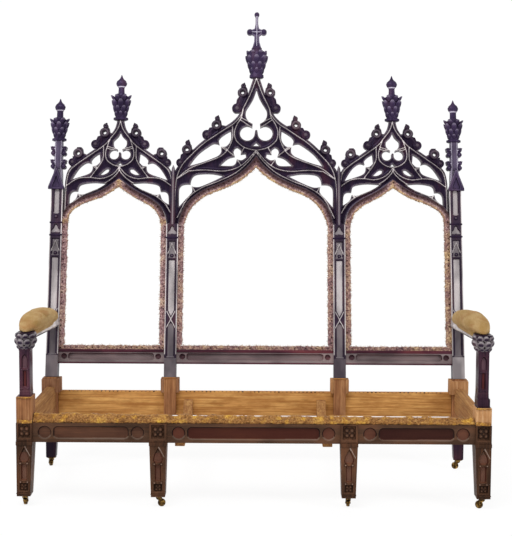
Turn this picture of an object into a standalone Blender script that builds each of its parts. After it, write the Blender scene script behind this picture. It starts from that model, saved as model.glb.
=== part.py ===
"""Gothic Revival settee frame, stripped of its seat and back covers, on six brass casters.

Metres, +Z up, the sitter faces -Y. Every piece is modelled at its real size: y = 0 is first the
front face of the front legs, and at the end the whole settee is centred over its origin.
"""
import math

import bmesh
import bpy
from mathutils import Matrix, Vector

# Driving sizes of the seat frame
GAP = 0.0003
SETTEE_WIDTH = 1.819
MID_X = 0.3665
CORNER_LEG_WIDTH = 0.062
CORNER_FOOT_WIDTH = 0.052
INNER_LEG_WIDTH = 0.066
INNER_FOOT_WIDTH = 0.054
LEG_DEPTH = 0.070
LEG_FOOT_DEPTH = 0.056
RAIL_BOTTOM = 0.255
FACING_TOP = 0.330
TACK_RAIL_TOP = 0.347
CORNER_BLOCK_TOP = 0.432
FACING_SETBACK = 0.006
FACING_THICKNESS = 0.018
TACK_RAIL_THICKNESS = 0.040
SIDE_RAIL_THICKNESS = 0.036
SIDE_RAIL_TOP = 0.358
SEAT_RAIL_TOP = 0.332
BACK_RAIL_BOTTOM = 0.228
BACK_RAIL_THICKNESS = 0.030
BRACE_X = 0.287
BRACE_WIDTH = 0.038
BRACE_BOTTOM = 0.226
BRACE_DIP = 0.026
BRACE_END_HEIGHT = 0.074
BRACE_END_LENGTH = 0.060
BOARD_EASE = 0.002

# Driving sizes of the raked back
SEAT_DEPTH = 0.530
KINK_Z = 0.400
RAKE = math.radians(12.0)
STILE_WIDTH = 0.052
STILE_DEPTH = 0.045
STILE_LAP = 0.020
MID_STILE_BOTTOM = 0.238
REAR_FOOT_WIDTH = 0.042
REAR_FOOT_DEPTH = 0.036
LOWER_RAIL_LOW = 0.057
LOWER_RAIL_HIGH = 0.119
LOWER_RAIL_SETBACK = 0.006
LOWER_RAIL_THICKNESS = 0.028
SPRING_W = 0.667
EAVES_W = 0.835
SPIRE_TOP_W = 1.040
SPIRE_HALF = 0.016
SPIRE_CROCKET = 0.019
SPIRE_SETBACK = 0.005
EAVES_OVERHANG = 0.005
NIB = 0.004
COLONNETTE_TOP_W = 0.934
COLONNETTE_HALF = 0.011
COLONNETTE_SETBACK = 0.001
CENTRE_RISE = 0.667
SIDE_RISE = 0.470
CREST_SETBACK = 0.016
CREST_THICKNESS = 0.028
CREST_CHAMFER = 0.0025
EYE_RADIUS = 0.0072
FINIAL_FLATNESS = 0.62
FINIAL_HEIGHT = 0.212
PINNACLE_HEIGHT = 0.195
CENTRE_FINIAL_HEIGHT = 0.309
CROSS_THICKNESS = 0.016
PACKING_WALL = 0.013
PACKING_BACK_WALL = 0.005
PACKING_HEIGHT = 0.060
STRIP_WIDTH = 0.024
STRIP_LOW_WIDTH = 0.013
STRIP_THICKNESS = 0.010
STRIP_SETBACK = 0.010

# Driving sizes of the arms
POST_WIDTH = 0.047
POST_DEPTH = 0.052
POST_TOP = 0.606
CAPITAL_HEIGHT = 0.070
CAPITAL_WIDTH = 0.084
ARM_WIDTH = 0.044
ARM_THICKNESS = 0.040
ARM_DROP = 0.026
PAD_WIDTH = 0.105
PAD_LENGTH = 0.440
PAD_HEIGHT = 0.068
PAD_FRONT = 0.014

# Driving sizes of the sunk panels
PANEL_DEPTH = 0.005
PANEL_MARGIN = 0.011
LEG_LANCET_FOOT = 0.107
LEG_LANCET_HALF = 0.015
STILE_CROSSING_W = 0.261
STILE_CROSSING_GAP = 0.033
ROUNDEL_RADIUS = 0.027
ROUNDEL_INSET = 0.052
ROUNDEL_GAP = 0.006
RAIL_PANEL_HEIGHT = 0.034
BACK_ROUNDEL_RADIUS = 0.017
BACK_ROUNDEL_INSET = 0.034
BACK_PANEL_HEIGHT = 0.026

# Driving sizes of the casters
CASTER_HEIGHT = 0.044
PLATE_RADIUS = 0.021
PLATE_THICKNESS = 0.004
PINTLE_RADIUS = 0.004
PINTLE_LENGTH = 0.014
PINTLE_CLEARANCE = 0.0008
WHEEL_RADIUS = 0.015
WHEEL_WIDTH = 0.012
AXLE_RADIUS = 0.0025
AXLE_CLEARANCE = 0.0006
CHEEK_THICKNESS = 0.0028
CHEEK_CLEARANCE = 0.0007
CASTER_TRAIL = 0.012
CROWN_RADIUS = 0.011
CROWN_THICKNESS = 0.006

# Places that follow from the sizes above
OUT_X = SETTEE_WIDTH / 2 - CORNER_LEG_WIDTH / 2
BACK_Y = SEAT_DEPTH
FACING_BACK = FACING_SETBACK + FACING_THICKNESS
TACK_RAIL_FRONT = FACING_BACK + GAP
TACK_RAIL_BACK = TACK_RAIL_FRONT + TACK_RAIL_THICKNESS
CORNER_INNER_FACE = OUT_X - CORNER_LEG_WIDTH / 2
CORNER_OUTER_FACE = OUT_X + CORNER_LEG_WIDTH / 2
INNER_LEG_FACE = INNER_LEG_WIDTH / 2
STILE_FACE = OUT_X - STILE_WIDTH / 2
MID_STILE_IN = MID_X - STILE_WIDTH / 2
MID_STILE_OUT = MID_X + STILE_WIDTH / 2
BACK_RAIL_FRONT = BACK_Y + STILE_LAP + GAP
BACK_RAIL_BACK = BACK_RAIL_FRONT + BACK_RAIL_THICKNESS
CAPITAL_TOP = POST_TOP + CAPITAL_HEIGHT

for old in list(bpy.data.objects):
    bpy.data.objects.remove(old, do_unlink=True)

PIECES = bpy.data.collections.new("settee")
CUTTERS = bpy.data.collections.new("settee_cutters")
for group in (PIECES, CUTTERS):
    bpy.context.scene.collection.children.link(group)


def finish(name, colour, roughness, metallic=0.0):
    """A plain finish: linear colour, roughness and metal share."""
    material = bpy.data.materials.new(name)
    material.use_nodes = True
    shader = material.node_tree.nodes["Principled BSDF"]
    shader.inputs["Base Color"].default_value = (*colour, 1.0)
    shader.inputs["Roughness"].default_value = roughness
    shader.inputs["Metallic"].default_value = metallic
    return material


ROSEWOOD = finish("carved rosewood, French polished", (0.050, 0.024, 0.026), 0.35)
RAW_WOOD = finish("raw ash rail, unfinished", (0.48, 0.25, 0.075), 0.75)
RAW_BLOCK = finish("raw pine packing, unfinished", (0.42, 0.20, 0.065), 0.8)
TACK_STRIP = finish("tacking strip with cover remains", (0.25, 0.11, 0.06), 0.95)
VELVET = finish("worn gold velvet", (0.42, 0.26, 0.075), 0.9)
BRASS = finish("cast brass, aged", (0.45, 0.30, 0.11), 0.4, 1.0)


def add_empty(name, parent=None, place=(0, 0, 0), turn=(0, 0, 0)):
    empty = bpy.data.objects.new(name, None)
    PIECES.objects.link(empty)
    empty.parent = parent
    empty.location = place
    empty.rotation_euler = turn
    return empty


def add_piece(name, mesh, material, parent):
    """One sub-part of the settee, with its mesh in its parent's frame."""
    piece = bpy.data.objects.new(name, mesh)
    PIECES.objects.link(piece)
    piece.parent = parent
    mesh.name = name
    mesh.materials.clear()
    mesh.materials.append(material)
    return piece


def combine(piece, mesh, operation="DIFFERENCE"):
    """Cut a mesh out of a piece, or join it on, with both in the same parent's frame."""
    label = "{}_{}_{}".format(piece.name, operation.lower(), len(piece.modifiers))
    cutter = bpy.data.objects.new(label, mesh)
    CUTTERS.objects.link(cutter)
    cutter.parent = piece.parent
    cutter.hide_render = True
    cutter.display_type = "WIRE"
    boolean = piece.modifiers.new(label, "BOOLEAN")
    boolean.operation = operation
    boolean.solver = "EXACT"
    boolean.object = cutter


def mesh_of(bm):
    """Turn a bmesh into mesh data with its faces pointing out."""
    bmesh.ops.recalc_face_normals(bm, faces=bm.faces)
    mesh = bpy.data.meshes.new("shape")
    bm.to_mesh(mesh)
    bm.free()
    return mesh


def joined(meshes):
    """Several meshes as one, for a cutter with many separate bodies."""
    bm = bmesh.new()
    for mesh in meshes:
        bm.from_mesh(mesh)
    return mesh_of(bm)


def box(low, high):
    bm = bmesh.new()
    bmesh.ops.create_cube(bm, size=1.0)
    for vert in bm.verts:
        vert.co = Vector(h if c > 0 else l for c, l, h in zip(vert.co, low, high))
    return mesh_of(bm)


def soft_edged(mesh, width):
    """Ease the edges of a plain board."""
    bm = bmesh.new()
    bm.from_mesh(mesh)
    bmesh.ops.bevel(bm, geom=bm.edges, offset=width, segments=1, affect="EDGES")
    return mesh_of(bm)


def loft(rings):
    """Closed skin over rings that all have the same number of points."""
    bm = bmesh.new()
    rows = [[bm.verts.new(point) for point in ring] for ring in rings]
    count = len(rows[0])
    for low, high in zip(rows, rows[1:]):
        for i in range(count):
            j = (i + 1) % count
            bm.faces.new((low[i], low[j], high[j], high[i]))
    bm.faces.new(reversed(rows[0]))
    bm.faces.new(rows[-1])
    return mesh_of(bm)


def plate(loops, front, thickness, chamfer=0.0):
    """Flat piece from outlines in (x, height), standing with its front at y = front."""
    curve = bpy.data.curves.new("outline", "CURVE")
    curve.dimensions = "2D"
    curve.fill_mode = "BOTH"
    curve.extrude = thickness / 2 - chamfer
    curve.bevel_depth = chamfer
    curve.offset = -chamfer
    curve.bevel_resolution = 0
    for loop in loops:
        spline = curve.splines.new("POLY")
        spline.points.add(len(loop) - 1)
        spline.use_cyclic_u = True
        for point, (x, height) in zip(spline.points, loop):
            point.co = (x, height, 0.0, 1.0)
    holder = bpy.data.objects.new("outline", curve)
    CUTTERS.objects.link(holder)
    mesh = bpy.data.meshes.new_from_object(holder.evaluated_get(bpy.context.evaluated_depsgraph_get()))
    bpy.data.objects.remove(holder, do_unlink=True)
    stand = Matrix.Translation((0, front + thickness / 2, 0)) @ Matrix.Rotation(math.pi / 2, 4, "X")
    bm = bmesh.new()
    bm.from_mesh(mesh)
    bmesh.ops.remove_doubles(bm, verts=bm.verts, dist=1e-6)
    bmesh.ops.transform(bm, matrix=stand, verts=bm.verts)
    return mesh_of(bm)


def side_plate(outline, left, width):
    """Flat piece from an outline in (y, height), with its faces at x = left and left + width."""
    mesh = plate([outline], 0.0, width)
    turn = Matrix.Rotation(math.pi / 2, 4, "Z")
    mesh.transform(Matrix.Translation((left + width, 0, 0)) @ turn)
    return mesh


def level_plate(plan, low, thickness):
    """Flat piece from a plan in (x, y), lying with its underside at z = low."""
    mesh = plate([plan], -low - thickness, thickness)
    mesh.transform(Matrix.Rotation(-math.pi / 2, 4, "X"))
    return mesh


def turned(profile, steps):
    """Piece turned about the vertical axis from (radius, height) points, top to bottom."""
    mesh = bpy.data.meshes.new("profile")
    points = [(radius, 0.0, height) for radius, height in profile]
    mesh.from_pydata(points, [(i, i + 1) for i in range(len(points) - 1)], [])
    holder = bpy.data.objects.new("profile", mesh)
    CUTTERS.objects.link(holder)
    screw = holder.modifiers.new("Screw", "SCREW")
    screw.steps = steps
    screw.render_steps = steps
    screw.use_merge_vertices = True
    screw.merge_threshold = 1e-5
    solid = bpy.data.meshes.new_from_object(holder.evaluated_get(bpy.context.evaluated_depsgraph_get()))
    bpy.data.objects.remove(holder, do_unlink=True)
    bm = bmesh.new()
    bm.from_mesh(solid)
    bmesh.ops.remove_doubles(bm, verts=bm.verts, dist=1e-6)
    return mesh_of(bm)


def drum(radius, low, high, sides):
    """Plain upright cylinder."""
    return turned([(0, high), (radius, high), (radius, low), (0, low)], sides)


def arc(x, height, radius, start, end, count):
    """Points on an arc, by angle in degrees from +x."""
    angles = [math.radians(start + (end - start) * i / (count - 1)) for i in range(count)]
    return [(x + radius * math.cos(a), height + radius * math.sin(a)) for a in angles]


def smooth(points, steps):
    """Curve that passes through each of the points in turn."""
    ends = [points[0]] + list(points) + [points[-1]]
    curve = []
    for a, b, c, d in zip(ends, ends[1:], ends[2:], ends[3:]):
        for step in range(steps):
            t = step / steps
            curve.append(tuple(
                0.5 * (2 * q + (r - p) * t + (2 * p - 5 * q + 4 * r - s) * t * t
                       + (3 * q - p - 3 * r + s) * t ** 3)
                for p, q, r, s in zip(a, b, c, d)))
    curve.append(points[-1])
    return curve


def mirrored(points):
    return [(-x, height) for x, height in reversed(points)]


def lancet(x, low, high, half):
    """Pointed panel with an equilateral head."""
    spring = high - half * math.sqrt(3)
    right = arc(x - half, spring, 2 * half, 0, 60, 4)
    left = arc(x + half, spring, 2 * half, 120, 180, 4)
    return [(x - half, low), (x + half, low)] + right + left[1:]


def round_ended(left, right, middle, height):
    """Long panel with half-round ends."""
    radius = height / 2
    ends = arc(right - radius, middle, radius, -90, 90, 5)
    return ends + arc(left + radius, middle, radius, 90, 270, 5)


def rounded_ring(x, y, z, half_x, half_y, ease):
    """Level ring of a square section with eased corners."""
    ring = []
    for sx, sy in ((1, 1), (-1, 1), (-1, -1), (1, -1)):
        corner = [(half_x, half_y - ease), (half_x - ease, half_y)]
        if sx * sy < 0:
            corner.reverse()
        ring += [(x + sx * a, y + sy * b, z) for a, b in corner]
    return ring


def sunk(outlines, surface, depth=PANEL_DEPTH):
    """Cutter for panels sunk from a front surface, standing a little proud of it."""
    return joined([plate([outline], surface - depth, 2 * depth) for outline in outlines])


ROOT = add_empty("settee_origin")
BACK = add_empty("back_rake", ROOT, (0, BACK_Y, KINK_Z), (-RAKE, 0, 0))
BACK_FRAME = Matrix.Translation((0, BACK_Y, KINK_Z)) @ Matrix.Rotation(-RAKE, 4, "X")
SIDES = (("left", -1), ("right", 1))


def pintle_bore(x, y):
    """Blind hole in a leg's foot for the caster's pintle."""
    radius = PINTLE_RADIUS + PINTLE_CLEARANCE
    bore = drum(radius, -PINTLE_LENGTH, PINTLE_LENGTH, 10)
    bore.transform(Matrix.Translation((x, y, CASTER_HEIGHT)))
    return bore


def leg_panels(x, half):
    """Sunk leaf panel in the head of a front leg, and the lancet below it."""
    head = half - PANEL_MARGIN
    middle = (RAIL_BOTTOM + FACING_TOP) / 2
    square = [(x + sx * head, middle + sz * head) for sx, sz in ((-1, -1), (1, -1), (1, 1), (-1, 1))]
    return [square, lancet(x, LEG_LANCET_FOOT, RAIL_BOTTOM - PANEL_MARGIN, LEG_LANCET_HALF)]


def corner_foot(side):
    """Centre of a corner leg's foot: the leg tapers on its inner side only."""
    return side * (CORNER_OUTER_FACE - CORNER_FOOT_WIDTH / 2), LEG_FOOT_DEPTH / 2


def front_leg(name, rings, x, half, foot):
    leg = add_piece(name, loft(rings), ROSEWOOD, ROOT)
    combine(leg, sunk(leg_panels(x, half), 0.0))
    combine(leg, pintle_bore(*foot))
    return leg


def leg_ring(left, right, depth, z):
    return [(left, 0, z), (right, 0, z), (right, depth, z), (left, depth, z)]


def corner_leg(label, side):
    """Corner front leg, whose raw head rises past the rails to carry the arm post."""
    outer = side * CORNER_OUTER_FACE
    inner = side * CORNER_INNER_FACE
    foot_inner = side * (CORNER_OUTER_FACE - CORNER_FOOT_WIDTH)
    rings = [
        leg_ring(min(outer, foot_inner), max(outer, foot_inner), LEG_FOOT_DEPTH, CASTER_HEIGHT),
        leg_ring(min(outer, inner), max(outer, inner), LEG_DEPTH, RAIL_BOTTOM),
        leg_ring(min(outer, inner), max(outer, inner), LEG_DEPTH, CORNER_BLOCK_TOP),
    ]
    front_leg("front_leg_corner_" + label, rings, side * OUT_X, CORNER_LEG_WIDTH / 2, corner_foot(side))


def inner_leg(label, side):
    """Inner front leg, notched behind its head for the long tacking rail."""
    x = side * MID_X
    half = INNER_LEG_WIDTH / 2
    foot_half = INNER_FOOT_WIDTH / 2
    rings = [
        leg_ring(x - foot_half, x + foot_half, LEG_FOOT_DEPTH, CASTER_HEIGHT),
        leg_ring(x - half, x + half, LEG_DEPTH, RAIL_BOTTOM),
        leg_ring(x - half, x + half, LEG_DEPTH, FACING_TOP),
    ]
    leg = front_leg("front_leg_inner_" + label, rings, x, half, (x, LEG_FOOT_DEPTH / 2))
    low = (x - INNER_LEG_WIDTH, FACING_BACK, RAIL_BOTTOM - GAP)
    combine(leg, box(low, (x + INNER_LEG_WIDTH, 2 * LEG_DEPTH, TACK_RAIL_TOP)))


def front_facing(label, left, right):
    """Dark facing of the front seat rail, with a sunk panel between two roundels."""
    low = (left + GAP, FACING_SETBACK, RAIL_BOTTOM)
    high = (right - GAP, FACING_BACK, FACING_TOP)
    facing = add_piece("front_rail_" + label, box(low, high), ROSEWOOD, ROOT)
    middle = (RAIL_BOTTOM + FACING_TOP) / 2
    ends = (left + ROUNDEL_INSET, right - ROUNDEL_INSET)
    reach = ROUNDEL_RADIUS + ROUNDEL_GAP
    outlines = [arc(x, middle, ROUNDEL_RADIUS, 0, 330, 12) for x in ends]
    outlines.append(round_ended(ends[0] + reach, ends[1] - reach, middle, RAIL_PANEL_HEIGHT))
    combine(facing, sunk(outlines, FACING_SETBACK))


def seat_frame():
    """Pale tacking rail, side rails, back seat rail and the two dipped braces."""
    reach = CORNER_INNER_FACE - GAP
    tack = box((-reach, TACK_RAIL_FRONT, RAIL_BOTTOM), (reach, TACK_RAIL_BACK, TACK_RAIL_TOP))
    add_piece("front_tack_rail", soft_edged(tack, BOARD_EASE), RAW_WOOD, ROOT)
    span = STILE_FACE - GAP
    rail = box((-span, BACK_RAIL_FRONT, BACK_RAIL_BOTTOM), (span, BACK_RAIL_BACK, SEAT_RAIL_TOP))
    add_piece("back_seat_rail", soft_edged(rail, BOARD_EASE), RAW_WOOD, ROOT)
    for label, side in SIDES:
        side_rail(label, side)
        cross_brace(label, side)


def side_rail(label, side):
    """Side seat rail, stepped down at the back under the packing, with a sunk panel on its outer face."""
    front = LEG_DEPTH + GAP
    back = BACK_Y - GAP
    step = BACK_Y - PACKING_WALL - GAP
    half = SIDE_RAIL_THICKNESS / 2
    x = side * OUT_X
    outline = [(front, RAIL_BOTTOM), (back, RAIL_BOTTOM), (back, SEAT_RAIL_TOP), (step, SEAT_RAIL_TOP),
               (step, SIDE_RAIL_TOP), (front, SIDE_RAIL_TOP)]
    rail = side_plate(outline, x - half, SIDE_RAIL_THICKNESS)
    piece = add_piece("side_rail_" + label, rail, ROSEWOOD, ROOT)
    panel = round_ended(front + ROUNDEL_RADIUS, back - ROUNDEL_RADIUS,
                        (RAIL_BOTTOM + FACING_TOP) / 2, RAIL_PANEL_HEIGHT)
    combine(piece, side_plate(panel, x + side * half - PANEL_DEPTH, 2 * PANEL_DEPTH))


def cross_brace(label, side):
    """Dipped batten that ties the front rail to the back rail below the seat."""
    front = TACK_RAIL_BACK + GAP
    back = BACK_RAIL_FRONT - GAP
    top = BRACE_BOTTOM + BRACE_END_HEIGHT
    dip = BRACE_BOTTOM + BRACE_DIP
    outline = [(front, BRACE_BOTTOM), (back, BRACE_BOTTOM), (back, top), (back - BRACE_END_LENGTH / 3, top),
               (back - BRACE_END_LENGTH, dip), (front + BRACE_END_LENGTH, dip),
               (front + BRACE_END_LENGTH / 3, top), (front, top)]
    brace = side_plate(outline, side * BRACE_X - BRACE_WIDTH / 2, BRACE_WIDTH)
    add_piece("cross_brace_" + label, brace, RAW_WOOD, ROOT)


def raked(d, w):
    """(y, z) of a point d behind the back's front plane and w up its rake."""
    sine, cosine = math.sin(RAKE), math.cos(RAKE)
    return BACK_Y + w * sine + d * cosine, KINK_Z + w * cosine - d * sine


def in_back_frame(mesh):
    """Turn a mesh drawn on the raked back into the settee's upright frame."""
    mesh.transform(BACK_FRAME)
    return mesh


def stile_panels(x, half):
    """Two lancet panels one above the other on the lower length of a stile."""
    panel = half - PANEL_MARGIN
    lower = lancet(x, LOWER_RAIL_LOW, STILE_CROSSING_W - PANEL_MARGIN, panel)
    foot = STILE_CROSSING_W - PANEL_MARGIN + STILE_CROSSING_GAP
    return [lower, lancet(x, foot, SPRING_W - STILE_WIDTH - PANEL_MARGIN, panel)]


def spire_half(overhang):
    """Half outline of a gabled stile head, with the spire and its crockets above it."""
    half = STILE_WIDTH / 2
    eaves = half + overhang
    height = SPIRE_TOP_W - EAVES_W
    points = [(half - NIB, EAVES_W - 4 * NIB), (half - NIB, EAVES_W - NIB), (eaves, EAVES_W),
              (eaves - NIB, EAVES_W + 0.07 * height), (SPIRE_HALF, EAVES_W + 0.30 * height)]
    for share in (0.48, 0.78):
        w = EAVES_W + share * height
        tip = SPIRE_HALF + SPIRE_CROCKET
        points += [(SPIRE_HALF, w - 0.08 * height), (tip - NIB, w - 0.04 * height),
                   (tip - 2 * NIB, w + 0.02 * height), (tip, w + 0.07 * height),
                   (SPIRE_HALF, w + 0.05 * height)]
    points.append((SPIRE_HALF, SPIRE_TOP_W))
    return points


def spire_outline(side):
    """Whole stile head about its own axis: the eaves overhang on the side away from the crest only."""
    right = spire_half(EAVES_OVERHANG if side > 0 else -NIB / 2)
    left = spire_half(EAVES_OVERHANG if side < 0 else -NIB / 2)
    return right + mirrored(left)


def shifted(outline, x):
    return [(x + u, w) for u, w in outline]


def rear_foot(side):
    """Centre of a rear leg's foot: the leg tapers on its inner side and at its back."""
    return side * (OUT_X + STILE_WIDTH / 2 - REAR_FOOT_WIDTH / 2), BACK_Y + REAR_FOOT_DEPTH / 2


def outer_stile(label, side):
    """Rear leg and outer back stile in one piece, kinked at the seat and crowned by a spire."""
    x = side * OUT_X
    knee = KINK_Z - STILE_DEPTH * math.tan(RAKE / 2)
    sections = [((BACK_Y, CASTER_HEIGHT), (BACK_Y + REAR_FOOT_DEPTH, CASTER_HEIGHT), REAR_FOOT_WIDTH),
                ((BACK_Y, BACK_RAIL_BOTTOM), (BACK_Y + STILE_DEPTH, BACK_RAIL_BOTTOM), STILE_WIDTH),
                ((BACK_Y, KINK_Z), (BACK_Y + STILE_DEPTH, knee), STILE_WIDTH),
                (raked(0, EAVES_W), raked(STILE_DEPTH, EAVES_W), STILE_WIDTH)]
    outer = x + side * STILE_WIDTH / 2
    rings = []
    for front, back, width in sections:
        inner = outer - side * width
        rings.append([(outer, *front), (inner, *front), (inner, *back), (outer, *back)])
    stile = add_piece("outer_stile_" + label, loft(rings), ROSEWOOD, ROOT)
    spire = plate([shifted(spire_outline(side), x)], SPIRE_SETBACK, STILE_DEPTH - 2 * SPIRE_SETBACK)
    combine(stile, in_back_frame(spire), "UNION")
    panels = stile_panels(x, STILE_WIDTH / 2)
    half = STILE_WIDTH / 2 - PANEL_MARGIN
    panels.append(lancet(x, SPRING_W + PANEL_MARGIN, EAVES_W - PANEL_MARGIN, half))
    combine(stile, in_back_frame(sunk(panels, 0.0)))
    combine(stile, pintle_bore(*rear_foot(side)))


def mid_stile(label, side):
    """Stile between two bays: lapped over the back seat rail, with a colonnette between the crests."""
    x = side * MID_X
    knee = KINK_Z - STILE_DEPTH * math.tan(RAKE / 2)
    lap = BACK_Y + STILE_LAP
    shelf = SEAT_RAIL_TOP + GAP
    top = SPRING_W - GAP
    rear = BACK_Y + STILE_DEPTH
    profile = [(BACK_Y, MID_STILE_BOTTOM), (BACK_Y, KINK_Z), raked(0, top), raked(STILE_DEPTH, top),
               (rear, knee), (rear, shelf), (lap, shelf), (lap, MID_STILE_BOTTOM)]
    mesh = side_plate(profile, x - STILE_WIDTH / 2, STILE_WIDTH)
    stile = add_piece("mid_stile_" + label, mesh, ROSEWOOD, ROOT)
    half = COLONNETTE_HALF
    root = SPRING_W - 2 * NIB
    eaves = COLONNETTE_TOP_W - 3 * half
    shaft = [(x - half, root), (x + half, root), (x + half, eaves), (x, COLONNETTE_TOP_W),
             (x - half, eaves)]
    colonnette = plate([shaft], COLONNETTE_SETBACK, CREST_SETBACK - GAP - COLONNETTE_SETBACK)
    combine(stile, in_back_frame(colonnette), "UNION")
    combine(stile, in_back_frame(sunk(stile_panels(x, STILE_WIDTH / 2), 0.0)))


def packing(name, x, closed_front):
    """Pine packing round three sides of a stile, standing on the seat rails."""
    inner = STILE_WIDTH / 2 + GAP
    outer = inner + PACKING_WALL
    low = SEAT_RAIL_TOP + GAP
    if closed_front:
        web, open_end = BACK_Y - PACKING_WALL, BACK_Y + STILE_DEPTH
        face = BACK_Y - GAP
    else:
        web, open_end = BACK_Y + STILE_DEPTH + GAP + PACKING_BACK_WALL, BACK_Y
        face = BACK_Y + STILE_DEPTH + GAP
    plan = [(x - outer, web), (x + outer, web), (x + outer, open_end), (x + inner, open_end),
            (x + inner, face), (x - inner, face), (x - inner, open_end), (x - outer, open_end)]
    add_piece(name, level_plate(plan, low, PACKING_HEIGHT), RAW_BLOCK, ROOT)


def lower_back_rail(label, left, right):
    """Rail under a back panel, with a sunk panel between two small roundels."""
    outline = [(left + GAP, LOWER_RAIL_LOW), (right - GAP, LOWER_RAIL_LOW),
               (right - GAP, LOWER_RAIL_HIGH), (left + GAP, LOWER_RAIL_HIGH)]
    mesh = plate([outline], LOWER_RAIL_SETBACK, LOWER_RAIL_THICKNESS)
    rail = add_piece("lower_back_rail_" + label, mesh, ROSEWOOD, BACK)
    middle = (LOWER_RAIL_LOW + LOWER_RAIL_HIGH) / 2
    ends = (left + BACK_ROUNDEL_INSET, right - BACK_ROUNDEL_INSET)
    reach = BACK_ROUNDEL_RADIUS + ROUNDEL_GAP
    outlines = [arc(x, middle, BACK_ROUNDEL_RADIUS, 0, 315, 8) for x in ends]
    outlines.append(round_ended(ends[0] + reach, ends[1] - reach, middle, BACK_PANEL_HEIGHT))
    combine(rail, sunk(outlines, LOWER_RAIL_SETBACK))


# The crests are drawn in millimetres about each bay's middle, with heights from the kink of the
# back, and are then fitted to the bay's own width and rise. A half drawing goes from the middle out.
DRAWN_SPRING = 667
DRAWN_CENTRE_HALF = 341
DRAWN_CENTRE_APEX = 1329
DRAWN_SIDE_IN = 214
DRAWN_SIDE_OUT = 245
DRAWN_SIDE_APEX = 1133
RING_RADIUS = 22
TIP_HEIGHT = 44
CENTRE_ARCH = [(0, 972), (29, 934), (84, 887), (161, 849), (236, 818), (294, 772), (326, 722), (341, 667)]
SIDE_ARCH_OUT = [(0, 868), (25, 850), (56, 829), (96, 808), (146, 791), (196, 766), (226, 742), (245, 712)]
SIDE_ARCH_IN = [(0, 868), (25, 850), (56, 827), (96, 804), (140, 781), (176, 754), (203, 716), (214, 667)]
CENTRE_HOOD = [(367, 900), (338, 942), (292, 993), (240, 1042), (193, 1074), (147, 1105), (107, 1132),
               (79, 1163), (66, 1200), (38, 1260), (15, 1329)]
SIDE_HOOD = [(240, 858), (230, 905), (198, 943), (148, 979), (78, 1029), (52, 1058), (25, 1096), (15, 1133)]
CENTRE_CROCKETS = [((309, 1004), (338, 945), 15), ((178, 1115), (221, 1072), 17),
                   ((62, 1264), (87, 1192), 18)]
SIDE_CROCKETS = [((186, 985), (211, 945), 14), ((70, 1078), (110, 1026), 16)]


def crocket(eye, lobe, lobe_radius):
    """Leaf that scrolls up the hood: a round lobe, a pierced ring and a pointed tip."""
    along = Vector((eye[0] - lobe[0], eye[1] - lobe[1])).normalized()
    outward = Vector((along.y, -along.x))

    def swung(centre, radius, start, end, count):
        angles = [math.radians(start + (end - start) * i / (count - 1)) for i in range(count)]
        arms = [math.sin(a) * outward - math.cos(a) * along for a in angles]
        return [tuple(Vector(centre) + radius * arm) for arm in arms]

    valley = (Vector(eye) + Vector(lobe)) / 2 + outward * 0.3 * RING_RADIUS
    tip = [(eye[0] + 0.35 * RING_RADIUS, eye[1] + 0.95 * RING_RADIUS),
           (eye[0] - 0.4 * RING_RADIUS, eye[1] + TIP_HEIGHT),
           (eye[0] - 0.9 * RING_RADIUS, eye[1] + 0.9 * RING_RADIUS),
           (eye[0] - 1.05 * RING_RADIUS, eye[1])]
    return (swung(lobe, lobe_radius, 0, 140, 5) + [tuple(valley)]
            + swung(eye, RING_RADIUS, 25, 100, 4) + tip)


def half_outline(arch, foot, hood, crockets):
    """Right half of a crest's outline: out along the arch, up the joint, in along the hood."""
    edge = smooth(hood, 2)
    low, high = 0.7, 8
    for eye, lobe, radius in crockets:
        first = lobe[1] - low * radius
        last = eye[1] - high
        before = [point for point in edge if point[1] < first]
        after = [point for point in edge if point[1] > last and point not in before]
        edge = before + crocket(eye, lobe, radius) + after
    rise = [(foot, arch[-1][1])] if foot > arch[-1][0] else []
    return smooth(arch, 2) + rise + edge


def trefoil(apex, head, head_radius, lobe, lobe_radius, cusp):
    """Pierced trefoil with a drawn-out point: one head and two lobes, parted by three cusps."""
    throat = ((apex - head) * 0.62) + head
    right = [(0, apex), (0.30 * head_radius, throat)]
    right += arc(0, head, head_radius, 26, -70, 5)
    right += arc(lobe[0], lobe[1], lobe_radius, 138, -150, 7)
    right += [(0.06 * head_radius + 1, cusp - 6), (0, cusp)]
    return right[:-1] + mirrored(right)[:-1]


CENTRE_PIERCINGS = [
    [(114, 1089), (140, 1074), (159, 1059), (167, 1045), (163, 1026), (180, 1031), (199, 1027),
     (248, 992), (276, 962), (298, 930), (240, 946), (185, 968), (168, 977), (156, 993), (157, 1016),
     (136, 1018), (119, 1034), (112, 1056)],
    [(84, 1014), (95, 1009), (101, 994), (95, 973), (127, 963), (161, 932), (110, 931), (92, 941),
     (86, 960), (64, 957), (44, 970), (48, 986), (69, 983), (69, 1002)],
    [(144, 885), (195, 895), (250, 894), (276, 886), (288, 868), (291, 848), (318, 847), (336, 837),
     (342, 815), (341, 747), (310, 782), (284, 812), (286, 837), (252, 836), (200, 857)],
]
SIDE_PIERCINGS = [
    [(90, 984), (112, 970), (126, 953), (125, 938), (148, 942), (176, 922), (200, 888), (212, 866),
     (170, 880), (134, 894), (121, 910), (119, 927), (103, 929), (86, 945)],
    [(46, 914), (62, 913), (88, 889), (70, 889), (50, 900)],
    [(57, 849), (110, 853), (155, 848), (177, 838), (184, 814), (205, 813), (218, 797), (221, 757),
     (205, 766), (190, 781), (182, 803), (160, 799), (120, 814), (85, 830)],
]
CENTRE_TREFOIL = trefoil(1278, 1164, 50, (46, 1078), 34, 1092)
SIDE_TREFOIL = trefoil(1080, 1029, 31, (30, 979), 21, 983)
CENTRE_SPANDREL = [(0, 1036), (17, 1021), (-17, 1021)]
SIDE_SPANDREL = [(0, 943), (12, 930), (-12, 930)]


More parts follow.
